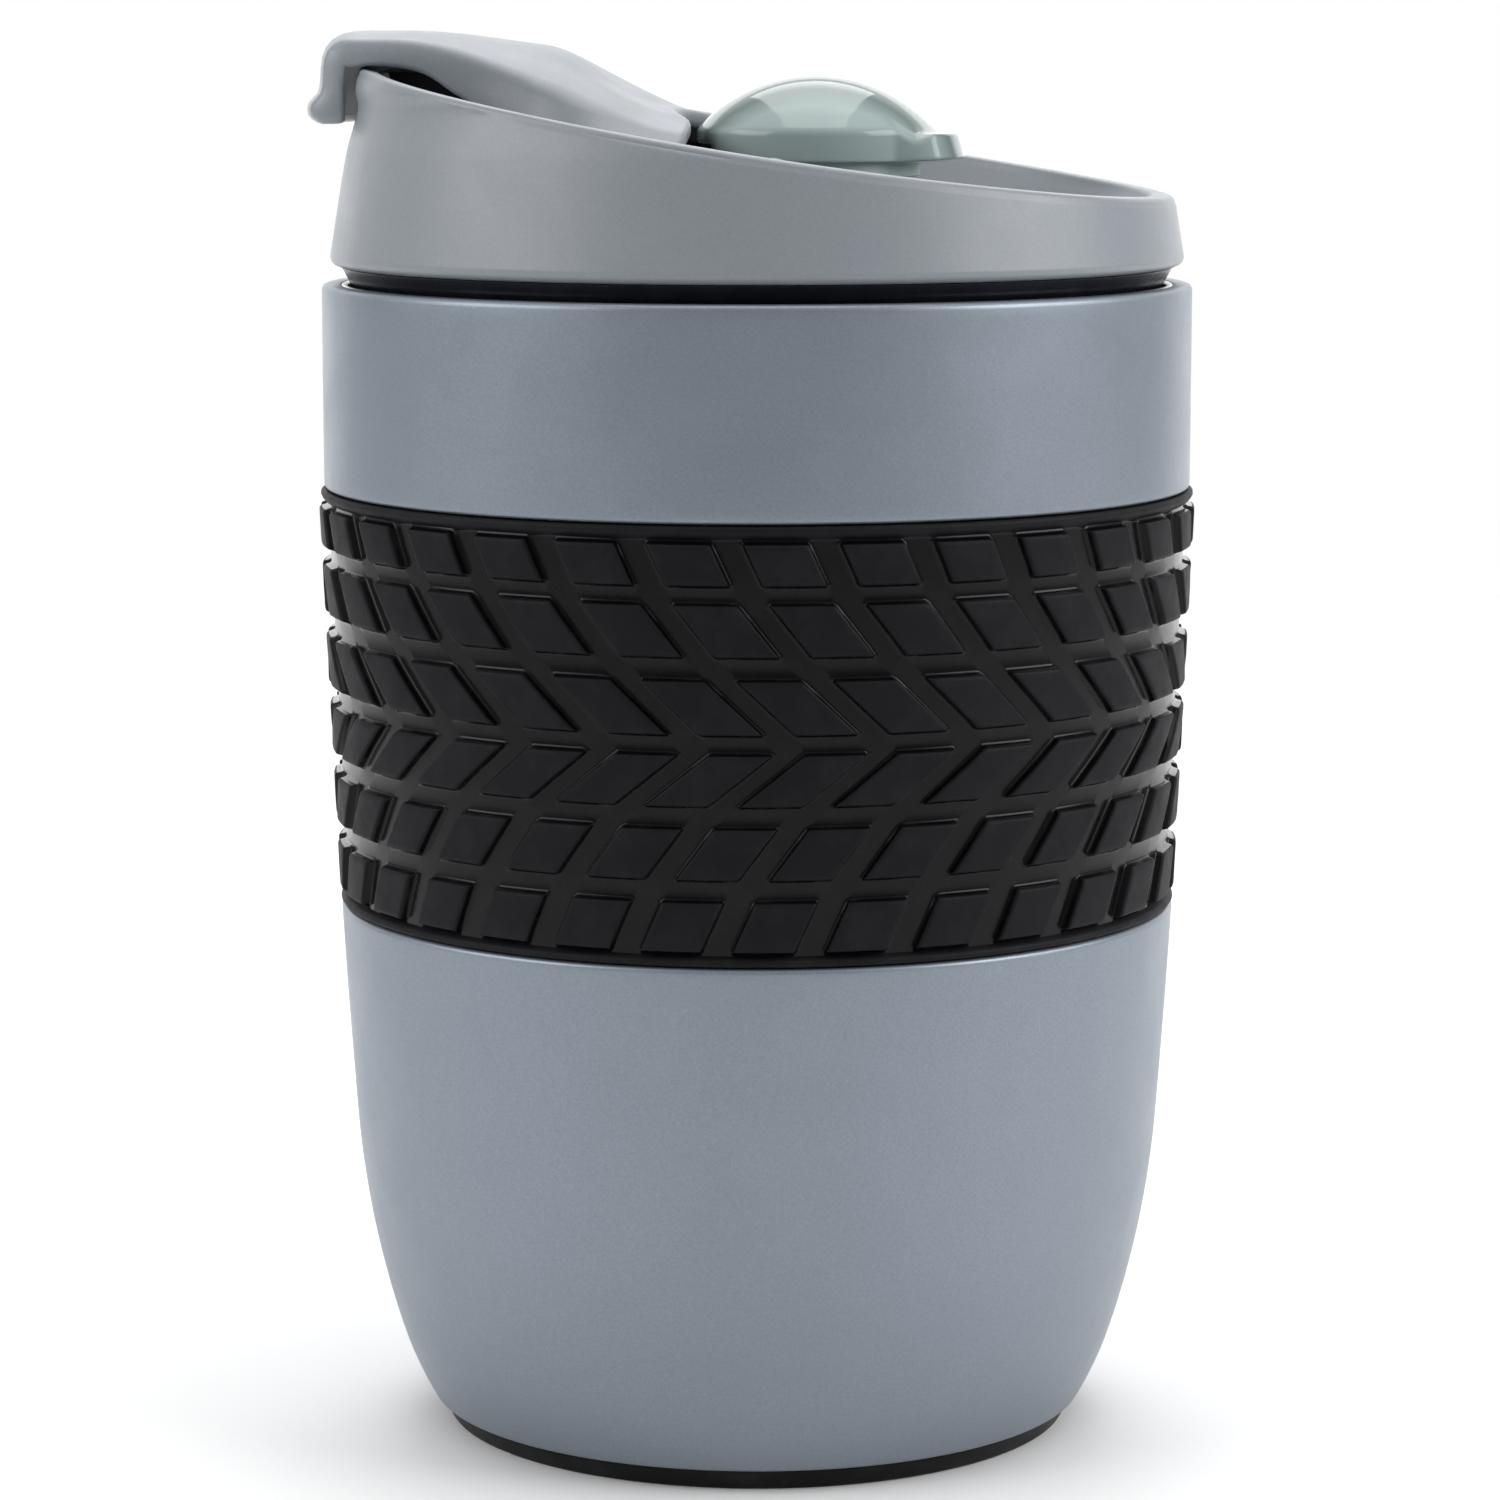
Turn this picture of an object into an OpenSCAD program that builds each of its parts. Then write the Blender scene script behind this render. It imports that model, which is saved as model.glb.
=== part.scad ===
// Insulated travel mug: double-wall steel cup, silicone tread sleeve and a push-in lid.
// The lid carries a flip cap that hooks over the drinking lip and a sprung dome lever.
// Origin: centre of the base on the table. +Z is up and the mouth points along -X.

/* [Mug] */
// Widest radius of the painted body
body_r = 40.4; // [39.9:0.1:40.9]
// Height of the rim above the table
rim_z = 107.3; // [106.8:0.1:108.3]
// Radius of the mouth's bore
mouth_r = 38.0; // [37.9:0.05:38.1]
// Thickness of the painted outer wall
shell_t = 0.8; // [0.6:0.1:0.9]
// Thickness of the steel liner
liner_t = 0.6; // [0.4:0.1:0.7]
// Distance from the painted face to the liner's inside
wall_gap = 4.6; // [4.4:0.1:5.4]
// Height of the liner's floor above the table
floor_z = 9; // [8:0.5:14]
// Thickness of the rubber base pad
pad_h = 2; // [1.6:0.1:2.4]

/* [Tread sleeve] */
// Height of the sleeve's lower edge
sleeve_z0 = 49.6; // [47:0.2:52]
// Height of the sleeve's upper edge
sleeve_z1 = 88.5; // [86:0.1:90]
// Number of tread blocks round each row
blocks = 30; // [20:1:36]
// Height that a block stands above the grooves
relief = 0.85; // [0.4:0.05:1]
// Share of the pitch that a block covers
block_share = 0.67; // [0.5:0.01:0.8]

/* [Lid] */
// Lowest face of the visible lid
lid_z = 108.9; // [108.7:0.1:109.4]
// Height of the lid's slanted rim over the axis
rim_mid_z = 120.7; // [120:0.1:121.5]
// Slant of the rim, rising towards the mouth
rim_slant = 9.15; // [8:0.05:10]
// Radius of the hollow that the rim follows
rim_curve_r = 900; // [700:10:1500]
// Thickness of the lid's wall
lid_t = 1.9; // [1.5:0.1:2.2]
// Height of the recessed deck over the axis
deck_z = 114.2; // [113.6:0.1:114.6]
// Height of the level deck behind the dome
rear_z = 112.4; // [111.8:0.1:112.8]
// Lowest face of the inner plug
plug_z = 96; // [94:0.5:98]
// Distance of the drinking hole from the axis
spout_x = 27.5; // [26:0.1:28]

/* [Flip cap] */
// How far the cap's hinge lies behind the lid's axis
hinge_x = 4; // [3.8:0.1:4.3]
// Height of the hinge pin
hinge_z = 116.8; // [116.6:0.1:117]
// Radius of the steel hinge pin
pin_r = 1.2; // [1:0.1:1.3]
// Running clearance round the pin
pin_gap = 0.05; // [0.03:0.01:0.08]
// Half of the cap's width over the mouth
tongue_w = 11.2; // [10.5:0.1:11.6]
// Half of the cap's width at its heel
heel_w = 20; // [18:0.5:22]
// Outer radius of the finger hook
hook_r = 40.6; // [40.3:0.1:41]

/* [Dome lever] */
// Radius of the dome's sphere
dome_r = 14.8; // [14.4:0.1:15.2]
// Height of the dome's top
dome_top = 126.4; // [126:0.1:126.8]
// Distance of the dome's centre behind the lid's axis
dome_x = 5.5; // [5.3:0.1:5.7]
// Radius of the dome in plan
dome_plan_r = 11; // [10.6:0.1:11.2]
// Thickness of the dome's clear wall
lens_t = 1.2; // [1:0.1:1.5]

/* [Hidden] */
$fn = 96;
eps = 0.01;

// Colours
paint_c = [0.55, 0.58, 0.62];
steel_c = [0.78, 0.78, 0.80];
rubber_c = [0.06, 0.06, 0.07];
plastic_c = [0.60, 0.62, 0.66];
smoke_c = [0.55, 0.63, 0.62, 0.6];
core_c = [0.52, 0.58, 0.58];

// The body's side is three arcs that meet smoothly: radius, and the lean where each one ends
side_r = 860;
knee_r = 87;
heel_r = 32;
widest_z = 95;
side_lean = 4.4;
knee_lean = 18.2;
side_c = [body_r - side_r, widest_z];
knee_c = side_c + (side_r - knee_r) * [cos(side_lean), -sin(side_lean)];
heel_c = knee_c + (knee_r - heel_r) * [cos(knee_lean), -sin(knee_lean)];
side_end = side_c[1] - side_r * sin(side_lean);
knee_end = knee_c[1] - knee_r * sin(knee_lean);
edge_r = 0.6;

// Seat that is pressed into the body for the sleeve
seat_r1 = 39.3;
seat_r0 = 37.9;
skin_gap = 0.1;

// Top edge of the tapered part of the liner, under the mouth's bore
bore_z = 94;

// Base
base_hole_r = 24;
pad_r0 = 29.3;
pad_r1 = 30.2;

// Tread rows: upper z, lower z, turn of the upper end and of the lower end of each block in degrees
tread_rows = [
    [86.9, 83.2, 1.2, 3.6],
    [81.6, 77.0, 4.5, 9.7],
    [75.0, 70.2, 12.4, 19.7],
    [68.5, 63.9, 20.9, 12.6],
    [62.0, 57.4, 9.5, 4.5],
    [55.5, 51.0, 2.7, -0.3]];
sleeve_r1 = 40.95;
sleeve_r0 = 39.3;

// Lid wall: radius at each height, with the drinking lip's soft bead at the top
lid_wall = [[38.4, lid_z], [39.2, lid_z + 0.25], [39.6, lid_z + 0.9], [38.0, 119.2],
            [36.9, 123.4], [37.15, 125.1], [36.8, 127], [36.6, 131]];
skirt_r = 36.7;

// Recess above the deck: its radius in the plane of the rim, its shift to the rear and its draft
well_r = 35.9;
well_x = 0.9;
well_draft = 24;
duct_l = 8;
duct_r = 3;
duct_rise = 0.6;
vent_x = 14;
spring_x = 12;
post_y = 16.2;
post_w = 2.8;

// Cap stations, from the finger hook to the heel
cap_t = 1.7;
lug_y = 14;
lug_w = 3.2;
frame_lift = 2.1;
frame_t = 1.8;
block_top = 126.7;
cap_heel_x = -4.6;
notch_r = 12.9;

// ---------- Helpers ----------

// Part of a big disc between two heights, kept on one side of the axis
module side_arc(centre, r, z_low, z_high) {
    intersection() {
        translate(centre) circle(r = r, $fn = 360);
        translate([0, z_low]) square([body_r + 1, z_high - z_low]);
    }
}

// Half section of the body, drawn in from its painted face by inset
module body_half(inset) {
    side_arc(heel_c, heel_r - inset, pad_h, knee_end + eps);
    side_arc(knee_c, knee_r - inset, knee_end, side_end + eps);
    side_arc(side_c, side_r - inset, side_end, widest_z);
    translate([0, widest_z - eps]) square([body_r - inset, rim_z - edge_r - widest_z + eps]);
    translate([0, rim_z - edge_r - eps]) square([body_r - edge_r - inset, edge_r + eps]);
    translate([body_r - edge_r - inset, rim_z - edge_r]) circle(r = edge_r, $fn = 48);
}

// Ring that the sleeve's seat takes out of the half section
module seat_half(inset) {
    polygon([[seat_r0 - inset, sleeve_z0 - inset], [body_r + 2, sleeve_z0 - inset],
             [body_r + 2, sleeve_z1 + inset], [seat_r1 - inset, sleeve_z1 + inset]]);
}

// Half section of the cup's inside, grown by grow
module bore_half(grow) {
    intersection() {
        body_half(wall_gap - grow);
        translate([0, floor_z - grow]) square([body_r, bore_z - floor_z + 2 * grow]);
        translate([0, floor_z + 62]) circle(r = 62 + grow, $fn = 360);
    }
    mouth_foot = bore_z - 1.4;
    polygon([[0, mouth_foot], [body_r - wall_gap + grow - 0.1, mouth_foot],
             [mouth_r + grow, bore_z + 1.4], [mouth_r + grow, rim_z], [0, rim_z]]);
}

// Long rounded slot, with its length along Y
module slot(length, r, h) {
    for (side = [-1, 1]) translate([0, side * length / 2, 0]) cylinder(r = r, h = h, $fn = 48);
    translate([-r, -length / 2, 0]) cube([2 * r, length, h]);
}

// Everything above the deck, or above a surface lift higher: slanted in front and level behind
module above_deck(lift) {
    intersection() {
        translate([0, 0, deck_z + lift]) rotate([0, rim_slant, 0]) translate([-60, -60, 0])
            cube([120, 120, 40]);
        translate([-60, -60, rear_z + lift]) cube([120, 120, 60]);
    }
}

// Puts its children on the slanted deck at x, lift above it
module on_deck(x, y, lift) {
    translate([x, y, deck_z - x * tan(rim_slant)]) rotate([0, rim_slant, 0]) translate([0, 0, lift])
        children();
}

module ring(outer_r, inner_r, h) {
    difference() {
        cylinder(r = outer_r, h = h);
        translate([0, 0, -1]) cylinder(r = inner_r, h = h + 2);
    }
}

// Triangles between rows of equal length, where each row is a closed ring of points
function band_faces(rows, cols) = [
    for (i = [0 : rows - 2]) for (j = [0 : cols - 1])
        let (k = (j + 1) % cols, a = i * cols + j, b = i * cols + k, c = b + cols, d = a + cols)
        each [[a, b, c], [a, c, d]]];

// Triangles that close one ring, whose second half runs back under its first half
function end_faces(cols) = [
    for (j = [0 : cols / 2 - 2]) each [[j, j + 1, cols - 2 - j], [j, cols - 2 - j, cols - 1 - j]]];

// ---------- Mug ----------

module outer_shell() color(paint_c) rotate_extrude($fn = 180) {
    difference() {
        body_half(0);
        seat_half(0);
        difference() {
            body_half(shell_t);
            seat_half(shell_t);
            translate([0, rim_z - shell_t]) square([body_r, shell_t + 1]);
            square([body_r, pad_h + shell_t]);
        }
        translate([0, pad_h - 1]) square([base_hole_r, shell_t + 2]);
        translate([0, rim_z - shell_t - 1]) square([mouth_r + liner_t, shell_t + 2]);
    }
}

module inner_liner() color(steel_c) rotate_extrude($fn = 180) {
    difference() {
        bore_half(liner_t);
        bore_half(0);
        translate([0, rim_z - eps]) square([body_r, 1]);
    }
}

module shell_base() color(steel_c) translate([0, 0, pad_h + shell_t]) difference() {
    cylinder(r = base_hole_r + 2.5, h = shell_t);
    translate([0, 0, shell_t / 2]) cylinder(r = 6, h = shell_t);
}

module vacuum_seal() color(steel_c) translate([0, 0, pad_h + shell_t - 0.5]) {
    cylinder(r1 = 1.4, r2 = 1.9, h = 0.5, $fn = 36);
}

module getter() color("dimgray") translate([10, 0, pad_h + 2 * shell_t]) {
    cylinder(r = 3.5, h = 1.2, $fn = 36);
    translate([0, 0, 1.2]) cylinder(r1 = 3.5, r2 = 2.8, h = 0.5, $fn = 36);
}

module base_pad() color(rubber_c) difference() {
    union() {
        cylinder(r1 = pad_r0, r2 = pad_r1, h = pad_h);
        cylinder(r = base_hole_r - 0.2, h = pad_h + 0.7);
    }
    translate([0, 0, pad_h - 0.2]) cylinder(r = 3, h = 2, $fn = 48);
    translate([0, 0, -0.5]) ring(21, 19, 0.9);
}

// Turn of a column's point within its pitch: the gap's end, the block's two edges, the gap's start
block_edge = 0.05;
col_share = [0, block_edge, block_share - block_edge, block_share];

function tread_r(z) = sleeve_r0 + (sleeve_r1 - sleeve_r0) * (z - sleeve_z0) / (sleeve_z1 - sleeve_z0);
function seat_r(z) = seat_r0 + (seat_r1 - seat_r0) * (z - sleeve_z0) / (sleeve_z1 - sleeve_z0);

// One ring of points round the sleeve, turned by turn degrees, with its blocks raised or not
function tread_ring(z, r, turn, raised) = [
    for (b = [0 : blocks - 1]) for (c = [0 : 3])
        let (a = turn + 360 / blocks * (b + col_share[c]),
             rr = r - ((raised && (c == 1 || c == 2)) ? 0 : relief))
        [rr * cos(a), rr * sin(a), z]];

function flat_ring(z, r) = [
    for (b = [0 : blocks - 1]) for (c = [0 : 3])
        let (a = 360 / blocks * (b + col_share[c])) [r * cos(a), r * sin(a), z]];

module grip_sleeve() color(rubber_c) {
    lip = 0.35;
    first = tread_rows[0];
    last = tread_rows[5];
    outer = [
        for (row = tread_rows) each [
            tread_ring(row[0] + lip, tread_r(row[0]), row[2], false),
            tread_ring(row[0], tread_r(row[0]), row[2], true),
            tread_ring(row[1], tread_r(row[1]), row[3], true),
            tread_ring(row[1] - lip, tread_r(row[1]), row[3], false)]];
    rings = [
        flat_ring(sleeve_z0 + skin_gap, seat_r0 + skin_gap),
        flat_ring(sleeve_z1 - skin_gap, seat_r1 + skin_gap),
        tread_ring(sleeve_z1 - skin_gap, sleeve_r1 + 0.4, first[2], false),
        each outer,
        tread_ring(sleeve_z0 + skin_gap, sleeve_r0 + 0.65, last[3], false)];
    cols = 4 * blocks;
    count = len(rings);
    end = (count - 1) * cols;
    wrap = [for (j = [0 : cols - 1]) let (k = (j + 1) % cols)
        each [[end + j, end + k, k], [end + j, k, j]]];
    polyhedron(points = [for (ring = rings) each ring],
               faces = concat(band_faces(count, cols), wrap), convexity = 6);
}

// ---------- Lid ----------

// Solid that the rim's hollow curve leaves
module rim_cut() {
    translate([0, 0, rim_mid_z]) rotate([0, rim_slant, 0]) translate([0, 50, rim_curve_r])
        rotate([90, 0, 0]) cylinder(r = rim_curve_r, h = 100, $fn = 720);
}

// Drafted recess inside the lid's wall, square to the slanted rim
module well(grow) {
    r = well_r + grow;
    translate([well_x, 0, rim_mid_z]) rotate([0, rim_slant, 0]) translate([0, 0, -12])
        cylinder(r1 = r - 12 * tan(well_draft), r2 = r + 8 * tan(well_draft), h = 20);
}

module lid_body() difference() {
    rotate_extrude($fn = 180) polygon([[0, lid_z], each lid_wall, [0, 131]]);
    rim_cut();
    intersection() {
        above_deck(0);
        well(0);
    }
    difference() {
        translate([0, 0, lid_z - 1]) cylinder(r = skirt_r, h = 20);
        above_deck(-lid_t);
    }
}

// Bearing post for the hinge pin, on the side given by side
module hinge_post(side) {
    translate([hinge_x, side * (post_y + post_w / 2), 0]) {
        translate([0, post_w / 2, hinge_z]) rotate([90, 0, 0]) cylinder(r = 2.4, h = post_w, $fn = 48);
        translate([-2.4, -post_w / 2, deck_z - 2]) cube([4.8, post_w, hinge_z - deck_z + 2]);
    }
}

module lid_shell() color(plastic_c) difference() {
    union() {
        lid_body();
        for (side = [-1, 1]) hinge_post(side);
        difference() {
            translate([-spout_x, 0, plug_z + 1.6]) slot(duct_l, duct_r + 1.2, deck_z - plug_z + 6);
            above_deck(duct_rise);
        }
        difference() {
            translate([spring_x, 0, rear_z - 1]) cylinder(r = 3.9, h = 1.8);
            translate([spring_x, 0, rear_z - 2]) cylinder(r = 3.1, h = 3);
        }
    }
    translate([-spout_x, 0, plug_z]) slot(duct_l, duct_r, 40);
    translate([-vent_x, 0, plug_z]) cylinder(r = 1, h = 40, $fn = 36);
    translate([hinge_x, 20, hinge_z]) rotate([90, 0, 0]) cylinder(r = pin_r, h = 40, $fn = 48);
}

module lid_plug() color(plastic_c) difference() {
    union() {
        translate([0, 0, plug_z]) cylinder(r = 36.2, h = lid_z - plug_z + 1.6);
        translate([0, 0, plug_z + 0.8]) cylinder(r = skirt_r, h = lid_z - plug_z + 0.8);
    }
    translate([0, 0, plug_z + 1.6]) cylinder(r = skirt_r - 1.6, h = 20);
    translate([-spout_x, 0, plug_z - 1]) slot(duct_l, duct_r, 20);
    translate([-vent_x, 0, plug_z - 1]) cylinder(r = 1, h = 20, $fn = 36);
}

// Silicone seal: two wiping fins and a cone that fills the gap above the rim
module seal_ring() color(rubber_c) {
    fin_r = mouth_r - 0.3;
    root_r = mouth_r - 0.8;
    rotate_extrude($fn = 180) polygon([
        [skirt_r, 99.5], [root_r, 99.5], [fin_r, 100.3], [fin_r, 100.9], [root_r, 101.6],
        [root_r, 103.0], [fin_r, 103.8], [fin_r, 104.4], [root_r, 105.1], [root_r, 106.3],
        [fin_r, rim_z], [fin_r + 0.85, lid_z], [skirt_r, lid_z]]);
}

module hinge_pin() color(steel_c) {
    translate([hinge_x, post_y + post_w - 0.3, hinge_z]) rotate([90, 0, 0])
        cylinder(r = pin_r, h = 2 * (post_y + post_w - 0.3), $fn = 48);
}

// Compression spring under the dome lever
spring_r = 2.2;
wire_r = 0.3;
spring_z0 = rear_z;
spring_z1 = 116.4;
turns = 3;
turn_steps = 16;

module lever_spring() color(steel_c) {
    steps = turns * turn_steps;
    rise = (spring_z1 - spring_z0 - 2 * wire_r) / steps;
    sides = 6;
    points = [for (i = [0 : steps]) for (s = [0 : sides - 1])
        let (a = 360 * i / turn_steps, t = 360 * s / sides, r = spring_r + wire_r * cos(t))
        [spring_x + r * cos(a), r * sin(a), spring_z0 + wire_r + rise * i + wire_r * sin(t)]];
    start = [for (s = [0 : sides - 1]) s];
    finish = [for (s = [sides - 1 : -1 : 0]) steps * sides + s];
    flipped = [for (f = band_faces(steps + 1, sides)) [f[2], f[1], f[0]]];
    polyhedron(points = points, faces = concat(flipped, [finish, start]), convexity = 10);
}

// ---------- Flip cap ----------

// Height of the lid's rim over a point on the lid's midplane
function rim_height(x) = rim_mid_z - x * tan(rim_slant) + x * x / (2 * rim_curve_r);

// Smooth step from 0 to 1 as v runs from a to b
function ease(a, b, v) = let (t = min(1, max(0, (v - a) / (b - a)))) t * t * (3 - 2 * t);

// Crest of the cap and the lower edge of its sides, by distance along X
function crest(x) = 130.5 - 1.7 * ease(-33, -14, x) - 5.4 * ease(-20, -4.2, x);
function open_hem(x) = 127.2 + (rim_height(x) - 0.6 - 127.2) * ease(-31, -24.5, x);
function hem(x) = open_hem(x) + (deck_z - x * tan(rim_slant) + 0.7 - open_hem(x)) * ease(-25, -18, x);

// Half width of the cap, half width of its crown, and how far the crown's edge lies under the crest
function half_w(x) = tongue_w + (heel_w - tongue_w) * ease(-26, -7, x);
function crown_w(x) = tongue_w - 0.7 + 2.2 * ease(-28, -10, x);
function crown_drop(x) = 0.8 + 3.4 * ease(-31, -11, x);

// Finger hook in the midplane: outer point, then the point inside it, both as radius and height
hook_path = [
    [[41.2, 122.0], [38.0, 122.1]], [[41.9, 122.6], [38.0, 122.6]], [[42.0, 123.5], [38.0, 123.4]],
    [[41.5, 124.3], [38.0, 124.2]], [[40.9, 124.9], [38.0, 124.9]], [[hook_r, 127.2], [38.0, 126.4]],
    [[40.4, 128.6], [37.9, 127.0]], [[39.7, 129.8], [37.7, 127.3]], [[38.5, 130.4], [37.3, 127.6]]];

// Each station holds the outer crest, the inner face's middle, the edge where the two meet,
// the half width, the crown's half width and the crown's drop
hook_stations = [for (p = hook_path)
    [[-p[0][0], p[0][1]], [-p[1][0], p[1][1]], [-p[1][0] - 0.1, min(p[1][1], 127.2)],
     tongue_w, crown_w(-36), crown_drop(-36)]];
roof_stations = [for (i = [0 : 15])
    let (x = -36.8 + (cap_heel_x + 36.8) * i / 15)
    [[x, crest(x)], [x, crest(x) - cap_t], [x, hem(x)], half_w(x), crown_w(x), crown_drop(x)]];

// Front of the cap follows the lid's round wall
function bow(x, y) = x + ease(31, 37, -x) * (-x - sqrt(max(0, x * x - y * y)));
function cap_point(p, y) = [bow(p[0], y), y, p[1]];

// Point across one side of a section: v runs from -1 at one hem, over the crown, to 1 at the other
crown_share = 0.8;
function across(s, top, thin, v) =
    let (u = abs(v) / crown_share,
         edge = max(0.3, 1 - s[5] / norm(top - s[2])),
         side = min(1, max(0, (abs(v) - crown_share) / (1 - crown_share))),
         y = u < 1 ? u * (s[4] - thin) : s[4] - thin + (s[3] - s[4]) * side,
         rise = u < 1 ? 1 - (1 - edge) * u * u : edge * (1 - side))
    cap_point(s[2] + (top - s[2]) * rise, sign(v) * y);

module cap_skin() {
    vs = [-1, -0.9, -0.84, -0.78, -0.6, -0.3, 0, 0.3, 0.6, 0.78, 0.84, 0.9, 1];
    n = len(vs);
    rows = [for (s = concat(hook_stations, roof_stations)) concat(
        [for (v = vs) across(s, s[0], 0, v)],
        [for (k = [n - 1 : -1 : 0]) across(s, s[1], 1.3, vs[k])])];
    cols = 2 * n;
    count = len(rows);
    foot = [for (f = end_faces(cols)) [f[2], f[1], f[0]]];
    heel = [for (f = end_faces(cols)) f + (count - 1) * cols * [1, 1, 1]];
    polyhedron(points = [for (row = rows) each row],
               faces = concat(band_faces(count, cols), foot, heel), convexity = 8);
}

module flip_cap() color(plastic_c) difference() {
    cap_skin();
    translate([dome_x, 0, 100]) cylinder(r = notch_r, h = 40);
}

// Black carrier under the cap: hinge lugs, a cross bar and a block that holds the spout's plug
module cap_frame() color(rubber_c) difference() {
    union() {
        for (side = [-1, 1]) {
            translate([hinge_x, side * lug_y + lug_w / 2, hinge_z]) rotate([90, 0, 0])
                cylinder(r = 2.1, h = lug_w, $fn = 48);
            on_deck(hinge_x, side * lug_y, frame_lift) translate([-17, -lug_w / 2, 0])
                cube([17, lug_w, frame_t]);
        }
        on_deck(-13, 0, frame_lift) translate([-2, -lug_y, 0]) cube([4, 2 * lug_y, frame_t]);
        on_deck(-23, 0, frame_lift) translate([-2, -5, 0]) cube([11, 10, frame_t]);
        intersection() {
            above_deck(frame_lift + 0.1);
            well(-0.7);
            translate([-34, -8, 110]) cube([11, 16, block_top - 110]);
        }
    }
    translate([hinge_x, 20, hinge_z]) rotate([90, 0, 0])
        cylinder(r = pin_r + pin_gap, h = 40, $fn = 48);
}

module spout_plug() color(rubber_c) {
    on_deck(-spout_x, 0, duct_rise + 0.25) slot(duct_l - 0.6, duct_r + 0.8, frame_lift - duct_rise - 0.25);
}

module vent_plug() color(rubber_c) {
    on_deck(-vent_x, 0, 0.25) cylinder(r = 1.6, h = frame_lift - 0.25, $fn = 36);
}

// ---------- Dome lever ----------

dome_c = dome_top - dome_r;

// Underside of the lens's thumb tab, which the core's plate carries
core_z = 117.2;

// Solid dome with upright sides, drawn in by inset
module dome_solid(inset, foot) {
    intersection() {
        translate([dome_x, 0, dome_c]) sphere(r = dome_r - inset, $fn = 120);
        translate([dome_x, 0, foot]) cylinder(r = dome_plan_r - inset, h = 20);
    }
}

module thumb_tab() {
    translate([0, 7.5, 0]) rotate([90, 0, 0]) linear_extrude(15)
        polygon([[12.5, core_z], [14, core_z], [19.4, 118.5], [18.7, 120.9], [17, 121.1], [12.5, 121.6]]);
}

module dome_lens() color(smoke_c) difference() {
    union() {
        dome_solid(0, 118.6);
        thumb_tab();
    }
    dome_solid(lens_t, 110);
    translate([-12, -20, 110]) cube([9, 40, 10.2]);
}

module dome_core() color(core_c) difference() {
    union() {
        translate([hinge_x, 9.5, hinge_z]) rotate([90, 0, 0]) cylinder(r = 2.2, h = 19, $fn = 48);
        dome_solid(lens_t + 0.1, core_z - 0.1);
        translate([hinge_x, -6, spring_z1]) cube([12, 12, core_z - spring_z1]);
        translate([14.8, -6, spring_z1 - 0.5]) cube([2.2, 12, core_z - spring_z1 + 0.4]);
    }
    translate([hinge_x, 20, hinge_z]) rotate([90, 0, 0])
        cylinder(r = pin_r + pin_gap, h = 40, $fn = 48);
}

outer_shell();
inner_liner();
shell_base();
vacuum_seal();
getter();
base_pad();
grip_sleeve();
lid_shell();
lid_plug();
seal_ring();
hinge_pin();
lever_spring();
flip_cap();
cap_frame();
spout_plug();
vent_plug();
dome_lens();
dome_core();
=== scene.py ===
"""Looks of the insulated travel mug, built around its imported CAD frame.

Lengths are millimetres until a mesh is made, and every outline is in the frame's own axes:
+Z up, the mouth towards -X, the hinge pin along Y.
"""
import math

import bmesh
import bpy
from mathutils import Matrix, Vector


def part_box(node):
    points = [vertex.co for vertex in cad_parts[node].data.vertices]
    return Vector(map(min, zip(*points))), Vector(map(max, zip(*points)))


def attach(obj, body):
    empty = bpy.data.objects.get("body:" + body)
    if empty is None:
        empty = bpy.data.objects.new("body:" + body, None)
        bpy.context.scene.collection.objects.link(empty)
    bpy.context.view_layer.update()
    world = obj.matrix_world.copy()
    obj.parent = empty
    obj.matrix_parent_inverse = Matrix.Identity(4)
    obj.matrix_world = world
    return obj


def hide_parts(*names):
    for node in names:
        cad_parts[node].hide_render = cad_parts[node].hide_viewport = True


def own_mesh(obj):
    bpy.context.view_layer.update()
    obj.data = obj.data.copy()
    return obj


MM = 0.001
SEGMENTS = 240
# Degrees: edges over SHARP are shaded as edges, and the camera stands VIEW_TURN round towards +X
SHARP = 35
VIEW_TURN = 9

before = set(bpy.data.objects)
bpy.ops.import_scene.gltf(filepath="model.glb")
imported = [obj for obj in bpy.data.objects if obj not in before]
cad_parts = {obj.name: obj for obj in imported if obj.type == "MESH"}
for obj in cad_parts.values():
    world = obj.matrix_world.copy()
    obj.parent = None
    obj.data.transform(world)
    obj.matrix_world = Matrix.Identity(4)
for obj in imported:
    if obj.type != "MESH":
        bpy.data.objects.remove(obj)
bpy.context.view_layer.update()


def box_mm(node):
    low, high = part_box(node)
    return low / MM, high / MM


# ---------- Driving dimensions, read from the frame ----------

shell_low, shell_high = box_mm("outer_shell")
pad_high = box_mm("base_pad")[1]
sleeve_low, sleeve_high = box_mm("grip_sleeve")
seal_high = box_mm("seal_ring")[1]
plug_low = box_mm("lid_plug")[0]
pin_low, pin_high = box_mm("hinge_pin")
spring_low, spring_high = box_mm("lever_spring")

body_r = shell_high.x
rim_z = shell_high.z
base_z = shell_low.z
sleeve_z0 = sleeve_low.z - 0.1
sleeve_z1 = sleeve_high.z + 0.1
lid_z = seal_high.z
hinge_x = (pin_low.x + pin_high.x) / 2
hinge_z = (pin_low.z + pin_high.z) / 2
dome_top = box_mm("dome_lens")[1].z

# The body's side is three arcs that meet smoothly: radius, and the lean where each one ends
SIDE_R, KNEE_R, HEEL_R = 860.0, 87.0, 32.0
WIDEST_Z = 95.0
SIDE_LEAN, KNEE_LEAN = math.radians(4.4), math.radians(18.2)
MOUTH_R = 38.0
LINER_T = 0.6
WALL_GAP = 4.6
SEAT_R0, SEAT_R1 = 37.9, 39.3
BASE_HOLE_R = 24.0

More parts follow.
